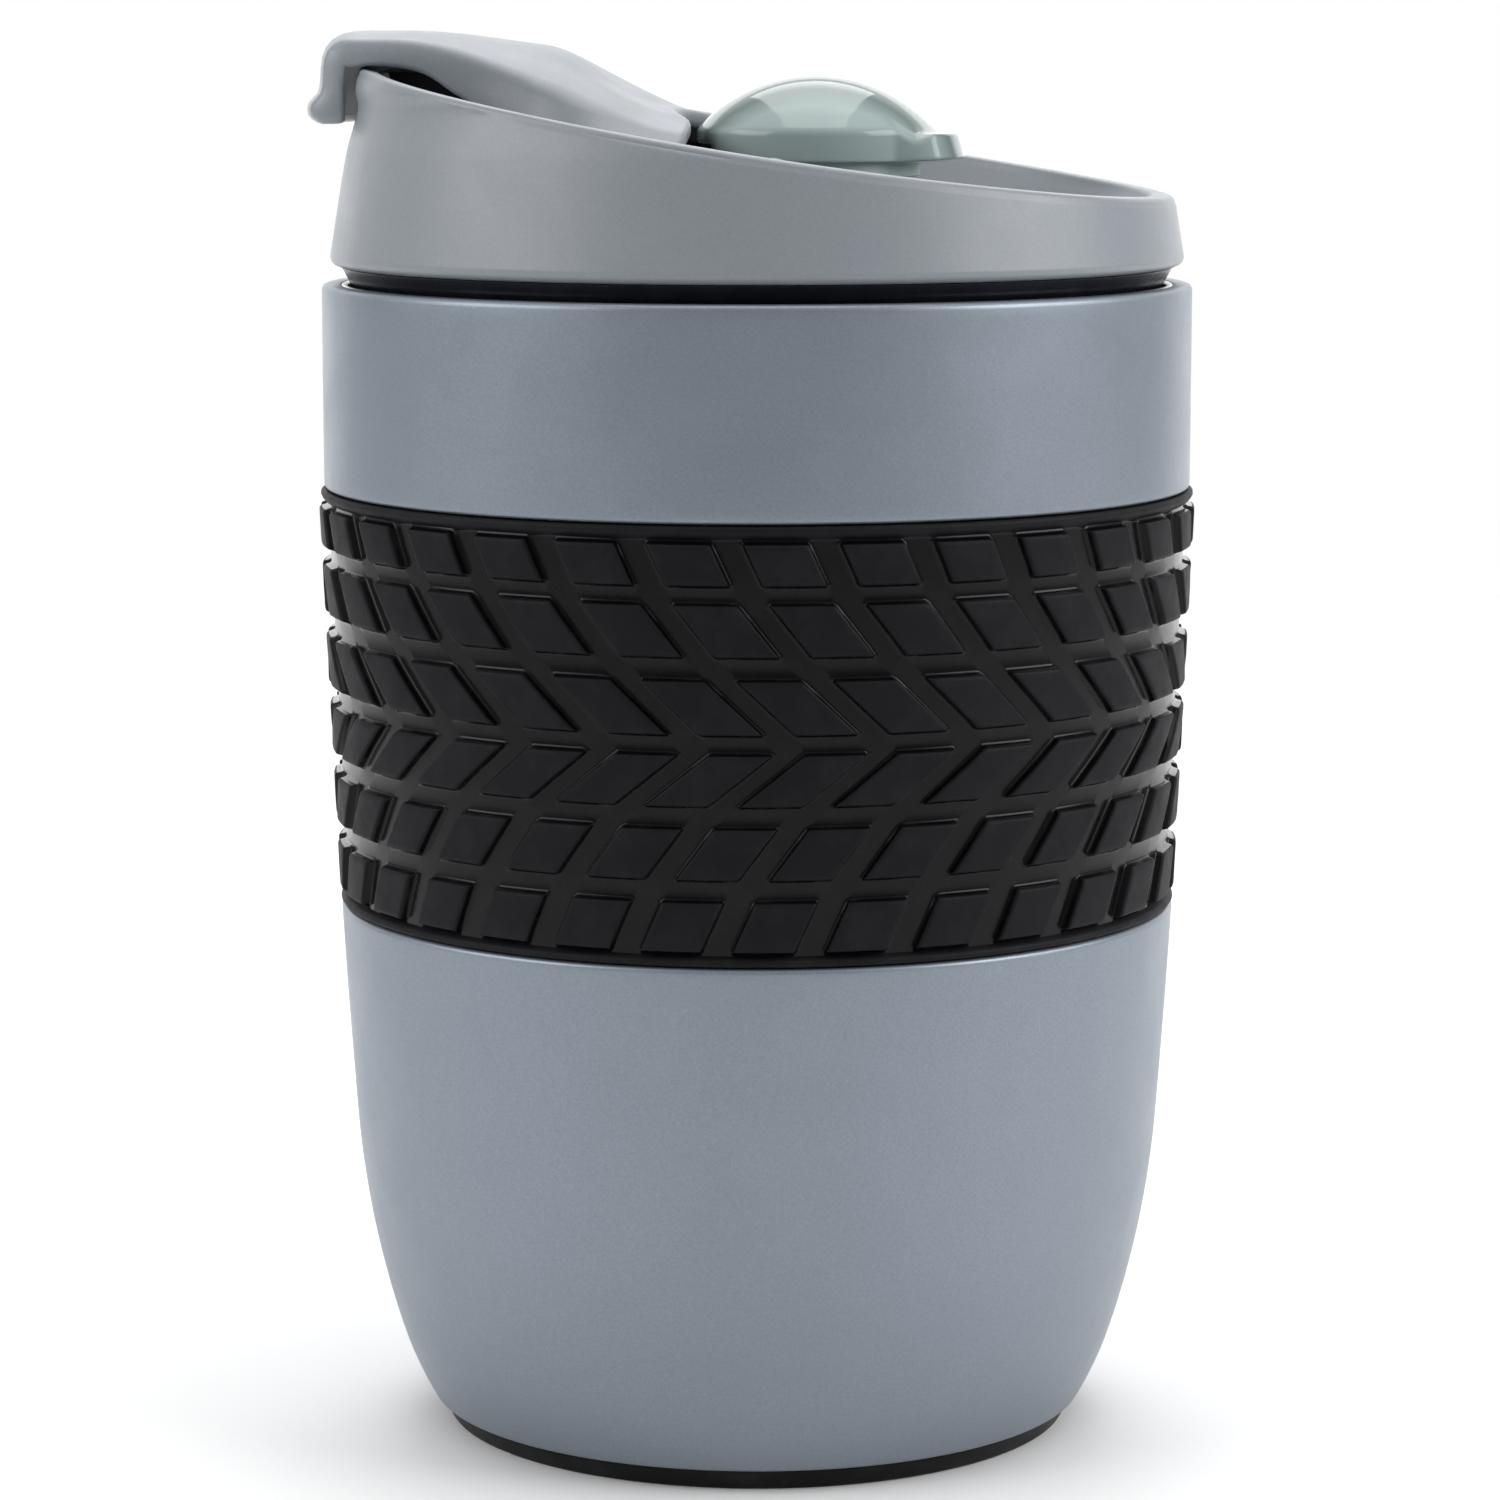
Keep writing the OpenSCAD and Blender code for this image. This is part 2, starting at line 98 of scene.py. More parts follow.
# Tread rows: upper z, lower z, turn of the upper end and of the lower end of each block in degrees
BLOCKS = 30
BLOCK_SHARE = 0.67
RELIEF = 0.85
TREAD_ROWS = [
    (86.9, 83.2, 1.2, 3.6),
    (81.6, 77.0, 4.5, 9.7),
    (75.0, 70.2, 12.4, 19.7),
    (68.5, 63.9, 20.9, 12.6),
    (62.0, 57.4, 9.5, 4.5),
    (55.5, 51.0, 2.7, -0.3),
]
SLEEVE_R0, SLEEVE_R1 = 39.3, 40.95

# Lid wall: radius at each height, with the drinking lip's soft bead at the top
LID_WALL = [(39.6, lid_z + 0.9), (38.0, 119.2), (36.9, 123.4), (37.15, 125.1), (36.8, 127.0), (36.6, 131.0)]
RIM_MID_Z = 120.7
RIM_SLANT = math.radians(9.15)
RIM_CURVE_R = 900.0
DECK_Z = 114.2
REAR_Z = 112.4
LID_T = 1.9
WELL_R = 35.9
WELL_X = 0.9
WELL_DRAFT = math.radians(24)
SKIRT_R = 36.7
SPOUT_X = -27.5
SPOUT_L = 8
VENT_X = -14.0
SPRING_X = 12.0

# Dome lever
DOME_R = 14.8
DOME_X = 5.5
DOME_PLAN_R = 11.0
LENS_T = 1.2
NOTCH_R = 12.9


# ---------- Helpers ----------


def ease(a, b, v):
    """Smooth step from 0 to 1 as v runs from a to b."""
    t = min(1.0, max(0.0, (v - a) / (b - a)))
    return t * t * (3 - 2 * t)


def mix(a, b, t):
    return a + (b - a) * t


def spread(a, b, count):
    """Count values from a to b, both included."""
    return [mix(a, b, i / (count - 1)) for i in range(count)]


def interpolate(points, z):
    """Value at z of a smooth line through (value, z) points in rising z."""
    if z <= points[0][1]:
        return points[0][0]
    for i in range(len(points) - 1):
        (v0, z0), (v1, z1) = points[i], points[i + 1]
        if z <= z1:
            before = points[i - 1] if i else points[i]
            after = points[i + 2] if i + 2 < len(points) else points[i + 1]
            t = (z - z0) / (z1 - z0)
            slope0 = (v1 - before[0]) / (z1 - before[1]) * (z1 - z0)
            slope1 = (after[0] - v0) / (after[1] - z0) * (z1 - z0)
            t2, t3 = t * t, t * t * t
            return (2 * t3 - 3 * t2 + 1) * v0 + (t3 - 2 * t2 + t) * slope0 \
                + (3 * t2 - 2 * t3) * v1 + (t3 - t2) * slope1
    return points[-1][0]


def rounded(outline, steps=5):
    """Closed outline of (x, y, radius) corners as (x, y) points, each corner with a radius rounded."""
    result = []
    count = len(outline)
    for i, (x, y, radius) in enumerate(outline):
        corner = Vector((x, y))
        if radius <= 0:
            result.append((x, y))
            continue
        ends = []
        for other in (outline[i - 1], outline[(i + 1) % count]):
            away = Vector(other[:2]) - corner
            ends.append((away.normalized(), away.length))
        half = ends[0][0].angle(ends[1][0]) / 2
        reach = min(radius / math.tan(half), ends[0][1] * 0.49, ends[1][1] * 0.49)
        a, b = corner + ends[0][0] * reach, corner + ends[1][0] * reach
        for t in spread(0, 1, steps + 1):
            p = a * (1 - t) ** 2 + corner * 2 * t * (1 - t) + b * t * t
            result.append((p.x, p.y))
    return result


def grid_faces(rows, cols, wrap_rows=False):
    """Quads between closed rows of points of equal length."""
    faces = []
    for i in range(rows if wrap_rows else rows - 1):
        for j in range(cols):
            a, b = i * cols, (i + 1) % rows * cols
            k = (j + 1) % cols
            faces.append((a + j, a + k, b + k, b + j))
    return faces


def close_end(start, cols, middle):
    """Faces that close the ring of cols points from start, in strips across it from its point middle."""
    faces = []
    for k in range(cols // 2):
        face = [start + (middle + j) % cols for j in (-k, -k - 1, k + 1, k)]
        faces.append(tuple(dict.fromkeys(face)))
    return faces


def add_piece(name, points, faces, body, materials, sharp=SHARP, marks=None):
    """Mesh piece from points in millimetres; marks gives each face's place in materials."""
    mesh = bpy.data.meshes.new(name)
    mesh.from_pydata([tuple(c * MM for c in p) for p in points], [], faces)
    for material in materials:
        mesh.materials.append(material)
    if marks:
        mesh.polygons.foreach_set("material_index", marks)
    obj = bpy.data.objects.new(name, mesh)
    bpy.context.scene.collection.objects.link(obj)
    clean(obj, sharp)
    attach(obj, body)
    return obj


def clean(obj, sharp):
    """Merges doubled points, turns normals outwards and shades smooth but for edges over sharp degrees."""
    work = bmesh.new()
    work.from_mesh(obj.data)
    bmesh.ops.remove_doubles(work, verts=work.verts, dist=1e-6)
    bmesh.ops.recalc_face_normals(work, faces=work.faces)
    work.to_mesh(obj.data)
    work.free()
    obj.data.shade_smooth()
    obj.data.set_sharp_from_angle(angle=math.radians(sharp))


def bake_modifiers(obj):
    """Applies the modifiers of obj to its mesh."""
    depsgraph = bpy.context.evaluated_depsgraph_get()
    obj.data = bpy.data.meshes.new_from_object(obj.evaluated_get(depsgraph))
    obj.modifiers.clear()
    clean(obj, SHARP)


def soften(obj, width):
    """Modifier that rounds the edges of obj that are sharper than 40 degrees."""
    modifier = obj.modifiers.new("soft_edges", "BEVEL")
    modifier.width = width * MM
    modifier.segments = 3
    modifier.limit_method = "ANGLE"
    modifier.angle_limit = math.radians(40)


def cut(obj, *cutters):
    """Takes the cutters' solids out of obj, and removes them."""
    for cutter in cutters:
        modifier = obj.modifiers.new("cut", "BOOLEAN")
        modifier.operation = "DIFFERENCE"
        modifier.solver = "EXACT"
        modifier.object = cutter
    bake_modifiers(obj)
    for cutter in cutters:
        bpy.data.objects.remove(cutter)


def revolve_mesh(outline, segments=SEGMENTS):
    """Points and faces of the solid of revolution about Z of a closed outline of (radius, height) points."""
    points = []
    for s in range(segments):
        a = 2 * math.pi * s / segments
        points += [(r * math.cos(a), r * math.sin(a), z) for r, z in outline]
    return points, grid_faces(segments, len(outline), wrap_rows=True)


def revolve(name, outline, body, material):
    points, faces = revolve_mesh(outline)
    return add_piece(name, points, faces, body, [material])


def prism(name, outline, place, low, high, body, material):
    """Solid between two copies of a closed outline; place(u, v, w) gives the point at w along its length."""
    count = len(outline)
    points = [place(u, v, w) for w in (low, high) for u, v in outline]
    faces = grid_faces(2, count) + [tuple(range(count)), tuple(range(2 * count - 1, count - 1, -1))]
    return add_piece(name, points, faces, body, [material])


def slot_outline(length, radius, steps=16):
    """Long rounded slot about the origin, with its length along Y."""
    points = []
    for side in (1, -1):
        for t in spread(0, math.pi, steps + 1):
            points.append((side * radius * math.cos(t), side * (length / 2 + radius * math.sin(t))))
    return points


# ---------- Materials ----------


RANGE_SOCKETS = ("From Min", "From Max", "To Min", "To Max")


class Nodes:
    """A new material's node tree, with short calls for the nodes used here."""

    def __init__(self, name):
        self.material = bpy.data.materials.new(name)
        self.material.use_nodes = True
        self.tree = self.material.node_tree
        self.shader = self.tree.nodes["Principled BSDF"]
        self.place = self.add("ShaderNodeTexCoord").outputs["Object"]

    def add(self, kind):
        return self.tree.nodes.new(kind)

    def link(self, output, socket):
        self.tree.links.new(output, socket)

    def set(self, **values):
        for name, value in values.items():
            self.shader.inputs[name.replace("_", " ")].default_value = value

    def noise(self, scale, detail=3.0, roughness=0.5, place=None):
        node = self.add("ShaderNodeTexNoise")
        node.inputs["Scale"].default_value = scale
        node.inputs["Detail"].default_value = detail
        node.inputs["Roughness"].default_value = roughness
        self.link(place or self.place, node.inputs["Vector"])
        return node.outputs["Fac"]

    def around(self, turn_scale, radius_scale, height_scale):
        """Coordinates round the Z axis: turn, radius and height, each scaled."""
        split = self.add("ShaderNodeSeparateXYZ")
        self.link(self.place, split.inputs[0])
        turn = self.math("ARCTAN2", split.outputs["Y"], split.outputs["X"])
        across = self.math("MULTIPLY", split.outputs["X"], split.outputs["X"])
        along = self.math("MULTIPLY", split.outputs["Y"], split.outputs["Y"])
        radius = self.math("SQRT", self.math("ADD", across, along))
        join = self.add("ShaderNodeCombineXYZ")
        self.link(self.math("MULTIPLY", turn, turn_scale), join.inputs["X"])
        self.link(self.math("MULTIPLY", radius, radius_scale), join.inputs["Y"])
        self.link(self.math("MULTIPLY", split.outputs["Z"], height_scale), join.inputs["Z"])
        return join.outputs[0]

    def math(self, operation, *values):
        node = self.add("ShaderNodeMath")
        node.operation = operation
        for socket, value in zip(node.inputs, values):
            if isinstance(value, (int, float)):
                socket.default_value = value
            else:
                self.link(value, socket)
        return node.outputs[0]

    def ramp(self, value, low, high, to_low, to_high):
        """Value taken from the range low to high to the range to_low to to_high."""
        node = self.add("ShaderNodeMapRange")
        for socket, number in zip(RANGE_SOCKETS, (low, high, to_low, to_high)):
            node.inputs[socket].default_value = number
        self.link(value, node.inputs["Value"])
        return node.outputs["Result"]

    def blend(self, factor, a, b):
        """Colour between a and b."""
        node = self.add("ShaderNodeMix")
        node.data_type = "RGBA"
        self.link(factor, node.inputs["Factor"])
        for socket, value in (("A", a), ("B", b)):
            slot = [i for i in node.inputs if i.name == socket and i.type == "RGBA"][0]
            if isinstance(value, tuple):
                slot.default_value = (*value, 1)
            else:
                self.link(value, slot)
        return [o for o in node.outputs if o.type == "RGBA"][0]

    def bump(self, height, distance, strength=1.0, normal=None):
        node = self.add("ShaderNodeBump")
        node.inputs["Distance"].default_value = distance * MM
        node.inputs["Strength"].default_value = strength
        self.link(height, node.inputs["Height"])
        if normal is not None:
            self.link(normal, node.inputs["Normal"])
        return node.outputs["Normal"]

    def colour(self, output):
        self.link(output, self.shader.inputs["Base Color"])

    def rough(self, output):
        self.link(output, self.shader.inputs["Roughness"])

    def normal(self, output):
        self.link(output, self.shader.inputs["Normal"])


def paint_material():
    """Satin pearl paint: fine flake grain, slow drifts of tone, faint orange peel."""
    n = Nodes("pearl_paint")
    n.set(Metallic=0.55, IOR=1.5)
    flakes = n.noise(5200, 2.0, 0.6)
    drift = n.noise(30, 3.0)
    tone = n.blend(n.ramp(flakes, 0.35, 0.65, 0, 1), (0.195, 0.226, 0.265), (0.232, 0.265, 0.308))
    n.colour(n.blend(n.ramp(drift, 0.3, 0.7, 0, 0.25), tone, (0.24, 0.273, 0.316)))
    n.rough(n.ramp(n.noise(140, 4.0, 0.65), 0.3, 0.7, 0.36, 0.44))
    peel = n.bump(n.noise(700, 2.0), 0.012)
    n.normal(n.bump(flakes, 0.008, 0.6, peel))
    return n.material


def plastic_material():
    """Matte moulded plastic with a fine spark-eroded grain."""
    n = Nodes("lid_plastic")
    n.set(IOR=1.5)
    grain = n.noise(3800, 3.0, 0.6)
    drift = n.noise(45, 3.0)
    tone = n.blend(n.ramp(grain, 0.3, 0.7, 0, 1), (0.195, 0.214, 0.236), (0.224, 0.244, 0.267))
    n.colour(n.blend(n.ramp(drift, 0.3, 0.7, 0, 0.3), tone, (0.224, 0.246, 0.271)))
    n.rough(n.ramp(n.noise(220, 4.0, 0.6), 0.3, 0.7, 0.34, 0.44))
    n.normal(n.bump(grain, 0.012, 0.7, n.bump(n.noise(500, 2.0), 0.01)))
    return n.material


def rubber_material(name, dark, light, rough_low, rough_high, grain_depth=0.02, ior=1.36):
    """Black rubber: mottled, with a fine moulded grain and a little dust."""
    n = Nodes(name)
    n.set(IOR=ior, Specular_IOR_Level=0.18)
    dust = n.noise(260, 5.0, 0.7)
    grain = n.noise(2600, 3.0, 0.6)
    n.colour(n.blend(n.ramp(dust, 0.45, 0.75, 0, 1), dark, light))
    n.rough(n.ramp(n.noise(420, 4.0, 0.6), 0.3, 0.7, rough_low, rough_high))
    n.normal(n.bump(grain, grain_depth, 0.8))
    return n.material


def steel_material(name, turn_scale, radius_scale, height_scale, rough_low, rough_high):
    """Brushed stainless steel with its brushing round the Z axis."""
    n = Nodes(name)
    n.set(Metallic=1.0)
    lines = n.noise(1.0, 4.0, 0.65, n.around(turn_scale, radius_scale, height_scale))
    cloud = n.noise(60, 3.0)
    tone = n.blend(n.ramp(lines, 0.3, 0.7, 0, 1), (0.53, 0.53, 0.54), (0.68, 0.68, 0.69))
    n.colour(n.blend(n.ramp(cloud, 0.3, 0.7, 0, 0.3), tone, (0.6, 0.61, 0.63)))
    n.rough(n.ramp(lines, 0.25, 0.75, rough_low, rough_high))
    n.normal(n.bump(lines, 0.01, 0.5))
    return n.material


def smoke_material():
    """Tinted clear plastic, a little cloudy and polished, with painted shade and then a painted highlight
    towards its outline.
    """
    n = Nodes("smoke_plastic")
    n.set(IOR=1.49, Specular_IOR_Level=0.24, Transmission_Weight=0.25)
    cloud = n.noise(90, 3.0)
    facing = n.add("ShaderNodeLayerWeight").outputs["Facing"]
    tint = n.blend(n.ramp(cloud, 0.3, 0.7, 0, 1), (0.355, 0.44, 0.43), (0.39, 0.475, 0.465))
    # Painted shade: a darker band inside the outline, set by the facing angle
    painted_edge_shade = n.blend(n.ramp(facing, 0.42, 0.6, 0, 0.8), tint, (0.10, 0.145, 0.14))
    # Painted highlight: a pale band along the outline, set by the facing angle
    n.colour(n.blend(n.ramp(facing, 0.62, 0.72, 0, 1), painted_edge_shade, (0.32, 0.375, 0.365)))
    n.rough(n.ramp(n.noise(300, 4.0, 0.6), 0.3, 0.7, 0.05, 0.1))
    n.normal(n.bump(n.noise(160, 2.0), 0.01, 0.4))
    return n.material


def plain_material(name, dark, light, scale, rough_low, rough_high, metallic=0.0):
    """Simple mottled finish for inner parts."""
    n = Nodes(name)
    n.set(Metallic=metallic)
    mottle = n.noise(scale, 4.0, 0.6)
    n.colour(n.blend(n.ramp(mottle, 0.3, 0.7, 0, 1), dark, light))
    n.rough(n.ramp(mottle, 0.3, 0.7, rough_low, rough_high))
    n.normal(n.bump(n.noise(scale * 8, 3.0), 0.012, 0.5))
    return n.material


paint = paint_material()
plastic = plastic_material()
block_rubber = rubber_material("block_rubber", (0.0062, 0.0064, 0.008), (0.0112, 0.0114, 0.0138), 0.5, 0.62)
# The blocks' rubber again, with darker colours that are painted shade in the grooves
groove_rubber_painted_shade = rubber_material(
    "groove_rubber_painted_shade", (0.003, 0.003, 0.0036), (0.006, 0.006, 0.007), 0.16, 0.24, grain_depth=0.005, ior=1.45)
pad_rubber = rubber_material("pad_rubber", (0.008, 0.008, 0.009), (0.02, 0.02, 0.021), 0.38, 0.5)
seal_silicone = rubber_material(
    "seal_silicone", (0.006, 0.007, 0.011), (0.012, 0.013, 0.018), 0.26, 0.34, grain_depth=0.006)
brushed_steel = steel_material("brushed_steel", 6.0, 5200.0, 5200.0, 0.2, 0.36)
base_steel = steel_material("base_steel", 6.0, 2600.0, 2600.0, 0.28, 0.42)
bright_steel = plain_material("bright_steel", (0.6, 0.6, 0.61), (0.7, 0.7, 0.71), 400, 0.16, 0.26, 1.0)
core_plastic = plain_material("core_plastic", (0.33, 0.405, 0.395), (0.36, 0.44, 0.43), 300, 0.4, 0.5)
black_plastic = rubber_material(
    "black_plastic", (0.007, 0.007, 0.008), (0.013, 0.013, 0.014), 0.35, 0.5, grain_depth=0.01)
smoke = smoke_material()


# ---------- Mug ----------


def side_radius(z):
    """Radius of the painted face at height z."""
    side_c = Vector((body_r - SIDE_R, WIDEST_Z))
    knee_c = side_c + (SIDE_R - KNEE_R) * Vector((math.cos(SIDE_LEAN), -math.sin(SIDE_LEAN)))
    heel_c = knee_c + (KNEE_R - HEEL_R) * Vector((math.cos(KNEE_LEAN), -math.sin(KNEE_LEAN)))
    if z >= WIDEST_Z:
        return body_r
    for centre, r, lean in ((side_c, SIDE_R, SIDE_LEAN), (knee_c, KNEE_R, KNEE_LEAN)):
        if z >= centre.y - r * math.sin(lean):
            return centre.x + math.sqrt(r * r - (z - centre.y) ** 2)
    return heel_c.x + math.sqrt(HEEL_R ** 2 - (z - heel_c.y) ** 2)


def wall_points(inset, low, high, count):
    """Corners without rounding that follow the painted face, drawn in by inset."""
    return [(side_radius(z) - inset, z, 0) for z in spread(low, high, count)]


def body_shell():
    wall = 0.8
    outline = rounded(
        [(BASE_HOLE_R, base_z, 0.2), (side_radius(base_z), base_z, 0.7)]
        + wall_points(0, base_z + 1.2, sleeve_z0 - 1.2, 40)
        + [(side_radius(sleeve_z0), sleeve_z0, 0.5), (SEAT_R0, sleeve_z0, 0.3), (SEAT_R1, sleeve_z1, 0.3),
           (side_radius(sleeve_z1), sleeve_z1, 0.5)]
        + wall_points(0, sleeve_z1 + 1.2, rim_z - 1.5, 14)
        + [(body_r, rim_z, 0.6), (MOUTH_R + LINER_T, rim_z, 0.2), (MOUTH_R + LINER_T, rim_z - wall, 0)]
        + wall_points(wall, rim_z - wall, sleeve_z1 + wall, 8)
        + [(SEAT_R1 - wall, sleeve_z1 + wall, 0), (SEAT_R0 - wall, sleeve_z0 - wall, 0)]
        + wall_points(wall, sleeve_z0 - wall, base_z + wall, 16)
        + [(BASE_HOLE_R, base_z + wall, 0)])
    piece = revolve("painted_body", outline, "mug", paint)
    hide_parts("outer_shell")


def liner():
    """Steel liner with a dished floor, tapered wall, straight mouth and a rounded lip."""
    floor_z, dish_r, bore_z = 9.0, 62.0, 94.0
    low = 21.5
    dish = [(r, floor_z + dish_r - math.sqrt(dish_r ** 2 - r * r)) for r in spread(0, 27.5, 12)]
    inner = [(r, z, 0) for r, z in dish]
    inner += [(side_radius(low - 3.5) - WALL_GAP, low - 3.5, 5.0)]
    inner += wall_points(WALL_GAP, low + 2, bore_z - 1.4, 30)
    inner += [(MOUTH_R, bore_z + 1.4, 4.0), (MOUTH_R, rim_z, 0.3), (MOUTH_R + LINER_T, rim_z, 0.25)]
    outer = [(MOUTH_R + LINER_T, bore_z + 1.4, 4.0)]
    outer += wall_points(WALL_GAP - LINER_T, bore_z - 1.4, low + 2, 30)
    outer += [(side_radius(low - 3.5) - WALL_GAP + LINER_T, low - 3.8, 5.0)]
    outer += [(r, z - LINER_T, 0) for r, z in reversed(dish)]
    piece = revolve("steel_liner", rounded(inner + outer), "mug", brushed_steel)
    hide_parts("inner_liner")


def base_pad():
    """Rubber foot with a rounded edge, two ring grooves and a shallow dimple below."""
    top, edge_r, foot_r = pad_high.z, pad_high.x, pad_high.x - 0.9
    outline = rounded([
        (0, 0.5, 0), (6, 0.5, 0.3), (6.5, 0, 0.3),
        (18.6, 0, 0.3), (19, 0.9, 0.3), (21, 0.9, 0.3), (21.4, 0, 0.3),
        (24.6, 0, 0.3), (25, 0.5, 0.2), (26, 0.5, 0.2), (26.4, 0, 0.3),
        (foot_r, 0, 0.6), (edge_r, base_z, 0.25),
        (BASE_HOLE_R - 0.2, base_z, 0), (BASE_HOLE_R - 0.2, top, 0), (0, top, 0)])
    piece = revolve("rubber_foot", outline, "mug", pad_rubber)
    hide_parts("base_pad")


# ---------- Tread sleeve ----------

# Edge of a block: distance in from its nominal edge, and share of the relief reached there
EDGE_RAMP = [
    (-0.34, 0.0), (-0.14, 0.05), (-0.02, 0.28), (0.07, 0.72), (0.17, 0.92), (0.34, 0.985), (0.62, 1.0)]


def edge_run(start, end, unit):
    """Positions and raised shares across one block; unit turns millimetres into the run's own unit."""
    run = [(start + d * unit, h) for d, h in EDGE_RAMP]
    run.append(((start + end) / 2, 1.0))
    run += [(end - d * unit, h) for d, h in reversed(EDGE_RAMP)]
    return run


def tread_radius(z):
    return mix(SLEEVE_R0, SLEEVE_R1, (z - sleeve_z0) / (sleeve_z1 - sleeve_z0))


def tread_turn(z):
    """Turn of the tread's pattern at height z, in degrees."""
    stops = [stop for row in TREAD_ROWS for stop in ((row[0], row[2]), (row[1], row[3]))]
    if z >= stops[0][0]:
        return stops[0][1]
    for (z1, t1), (z0, t0) in zip(stops, stops[1:]):
        if z >= z0:
            return mix(t0, t1, (z - z0) / (z1 - z0))
    return stops[-1][1]


def tread_columns():
    """Places round the tread in degrees, each with the share of the relief that is raised there."""
    pitch = 360 / BLOCKS
    per_mm = math.degrees(1 / SLEEVE_R1)
    floor_in = 0.6 * per_mm
    columns = []
    for b in range(BLOCKS):
        start, end = b * pitch, (b + BLOCK_SHARE) * pitch
        columns += [(start - floor_in, 0.0)] + edge_run(start, end, per_mm) + [(end + floor_in, 0.0)]
    return columns


def tread_heights():
    """Heights down the tread, each with the share of the relief that is raised there."""
    floor_in = 0.9
    rows = []
    for upper, lower, _, _ in TREAD_ROWS:
        rows += edge_run(upper, lower, -1)
        rows.append((lower - floor_in, 0.0))
    rows.pop()
    return rows


def tread_sleeve():
    """Grip sleeve: rings of points down the tread, turned by its pattern, between two soft edge lips."""
    columns, rows = tread_columns(), tread_heights()
    inner_gap = 0.1
    top, bottom = sleeve_z1 - inner_gap, sleeve_z0 + inner_gap
    lip = [(SEAT_R1 + inner_gap, top), (SLEEVE_R1 - 0.75, top), (SLEEVE_R1 - 0.45, top - 0.05),
           (SLEEVE_R1 - 0.28, top - 0.2), (SLEEVE_R1 - 0.25, top - 0.45), (SLEEVE_R1 - 0.4, top - 0.75),
           (SLEEVE_R1 - 0.62, top - 1.0)]
    foot = [(SLEEVE_R0 - 0.35, bottom + 0.75), (SLEEVE_R0 - 0.12, bottom + 0.55),
            (SLEEVE_R0 - 0.05, bottom + 0.3), (SLEEVE_R0 - 0.2, bottom + 0.1), (SLEEVE_R0 - 0.5, bottom),
            (SEAT_R0 + inner_gap, bottom)]
    rings = [(z, [r] * len(columns)) for r, z in lip]
    for z, share in rows:
        radii = [tread_radius(z) - RELIEF * (1 - share * raised) for _, raised in columns]
        rings.append((z, radii))
    rings += [(z, [r] * len(columns)) for r, z in foot]
    points = []
    for z, radii in rings:
        turn = tread_turn(z)
        for (place, _), r in zip(columns, radii):
            a = math.radians(place + turn)
            points.append((r * math.cos(a), r * math.sin(a), z))
    faces = grid_faces(len(rings), len(columns), wrap_rows=True)
    tread = range(len(lip), len(lip) + len(rows) - 1)
    marks = face_materials(rings, tread)
    # Grooves get the rubber with painted shade, blocks and lips the plain rubber
    rubbers = [groove_rubber_painted_shade, block_rubber]
    piece = add_piece("tread_sleeve", points, faces, "mug", rubbers, 60, marks)
    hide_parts("grip_sleeve")


def face_materials(rings, tread):
    """Material of each face: 0, the rubber with painted shade, in the grooves of the tread's rings, 1 on its
    blocks and on the edge lips.
    """
    marks = []
    drop = 0.65 * RELIEF
    for i, (z, radii) in enumerate(rings):
        after_z, after = rings[(i + 1) % len(rings)]
        raised = tread_radius(z) - drop, tread_radius(after_z) - drop
        for j in range(len(radii)):
            k = (j + 1) % len(radii)
            on_block = min(radii[j], radii[k]) > raised[0] and min(after[j], after[k]) > raised[1]
            marks.append(1 if on_block or i not in tread else 0)
    return marks


# ---------- Lid ----------


def rim_height(x):
    """Height of the lid's rim over a point on the lid's midplane."""
    return RIM_MID_Z - x * math.tan(RIM_SLANT) + x * x / (2 * RIM_CURVE_R)


def deck_height(x, lift=0.0):
    return max(REAR_Z + lift, DECK_Z + lift / math.cos(RIM_SLANT) - x * math.tan(RIM_SLANT))


def well_radius(turn, z):
    """Radius of the drafted recess at height z, which is a cone square to the slanted rim."""
    r = WELL_R
    for _ in range(8):
        x, y = r * math.cos(turn) - WELL_X, r * math.sin(turn)
        across = x * math.cos(RIM_SLANT) - (z - RIM_MID_Z) * math.sin(RIM_SLANT)
        depth = x * math.sin(RIM_SLANT) + (z - RIM_MID_Z) * math.cos(RIM_SLANT)
        r *= (WELL_R + depth * math.tan(WELL_DRAFT)) / math.hypot(across, y)
    return r


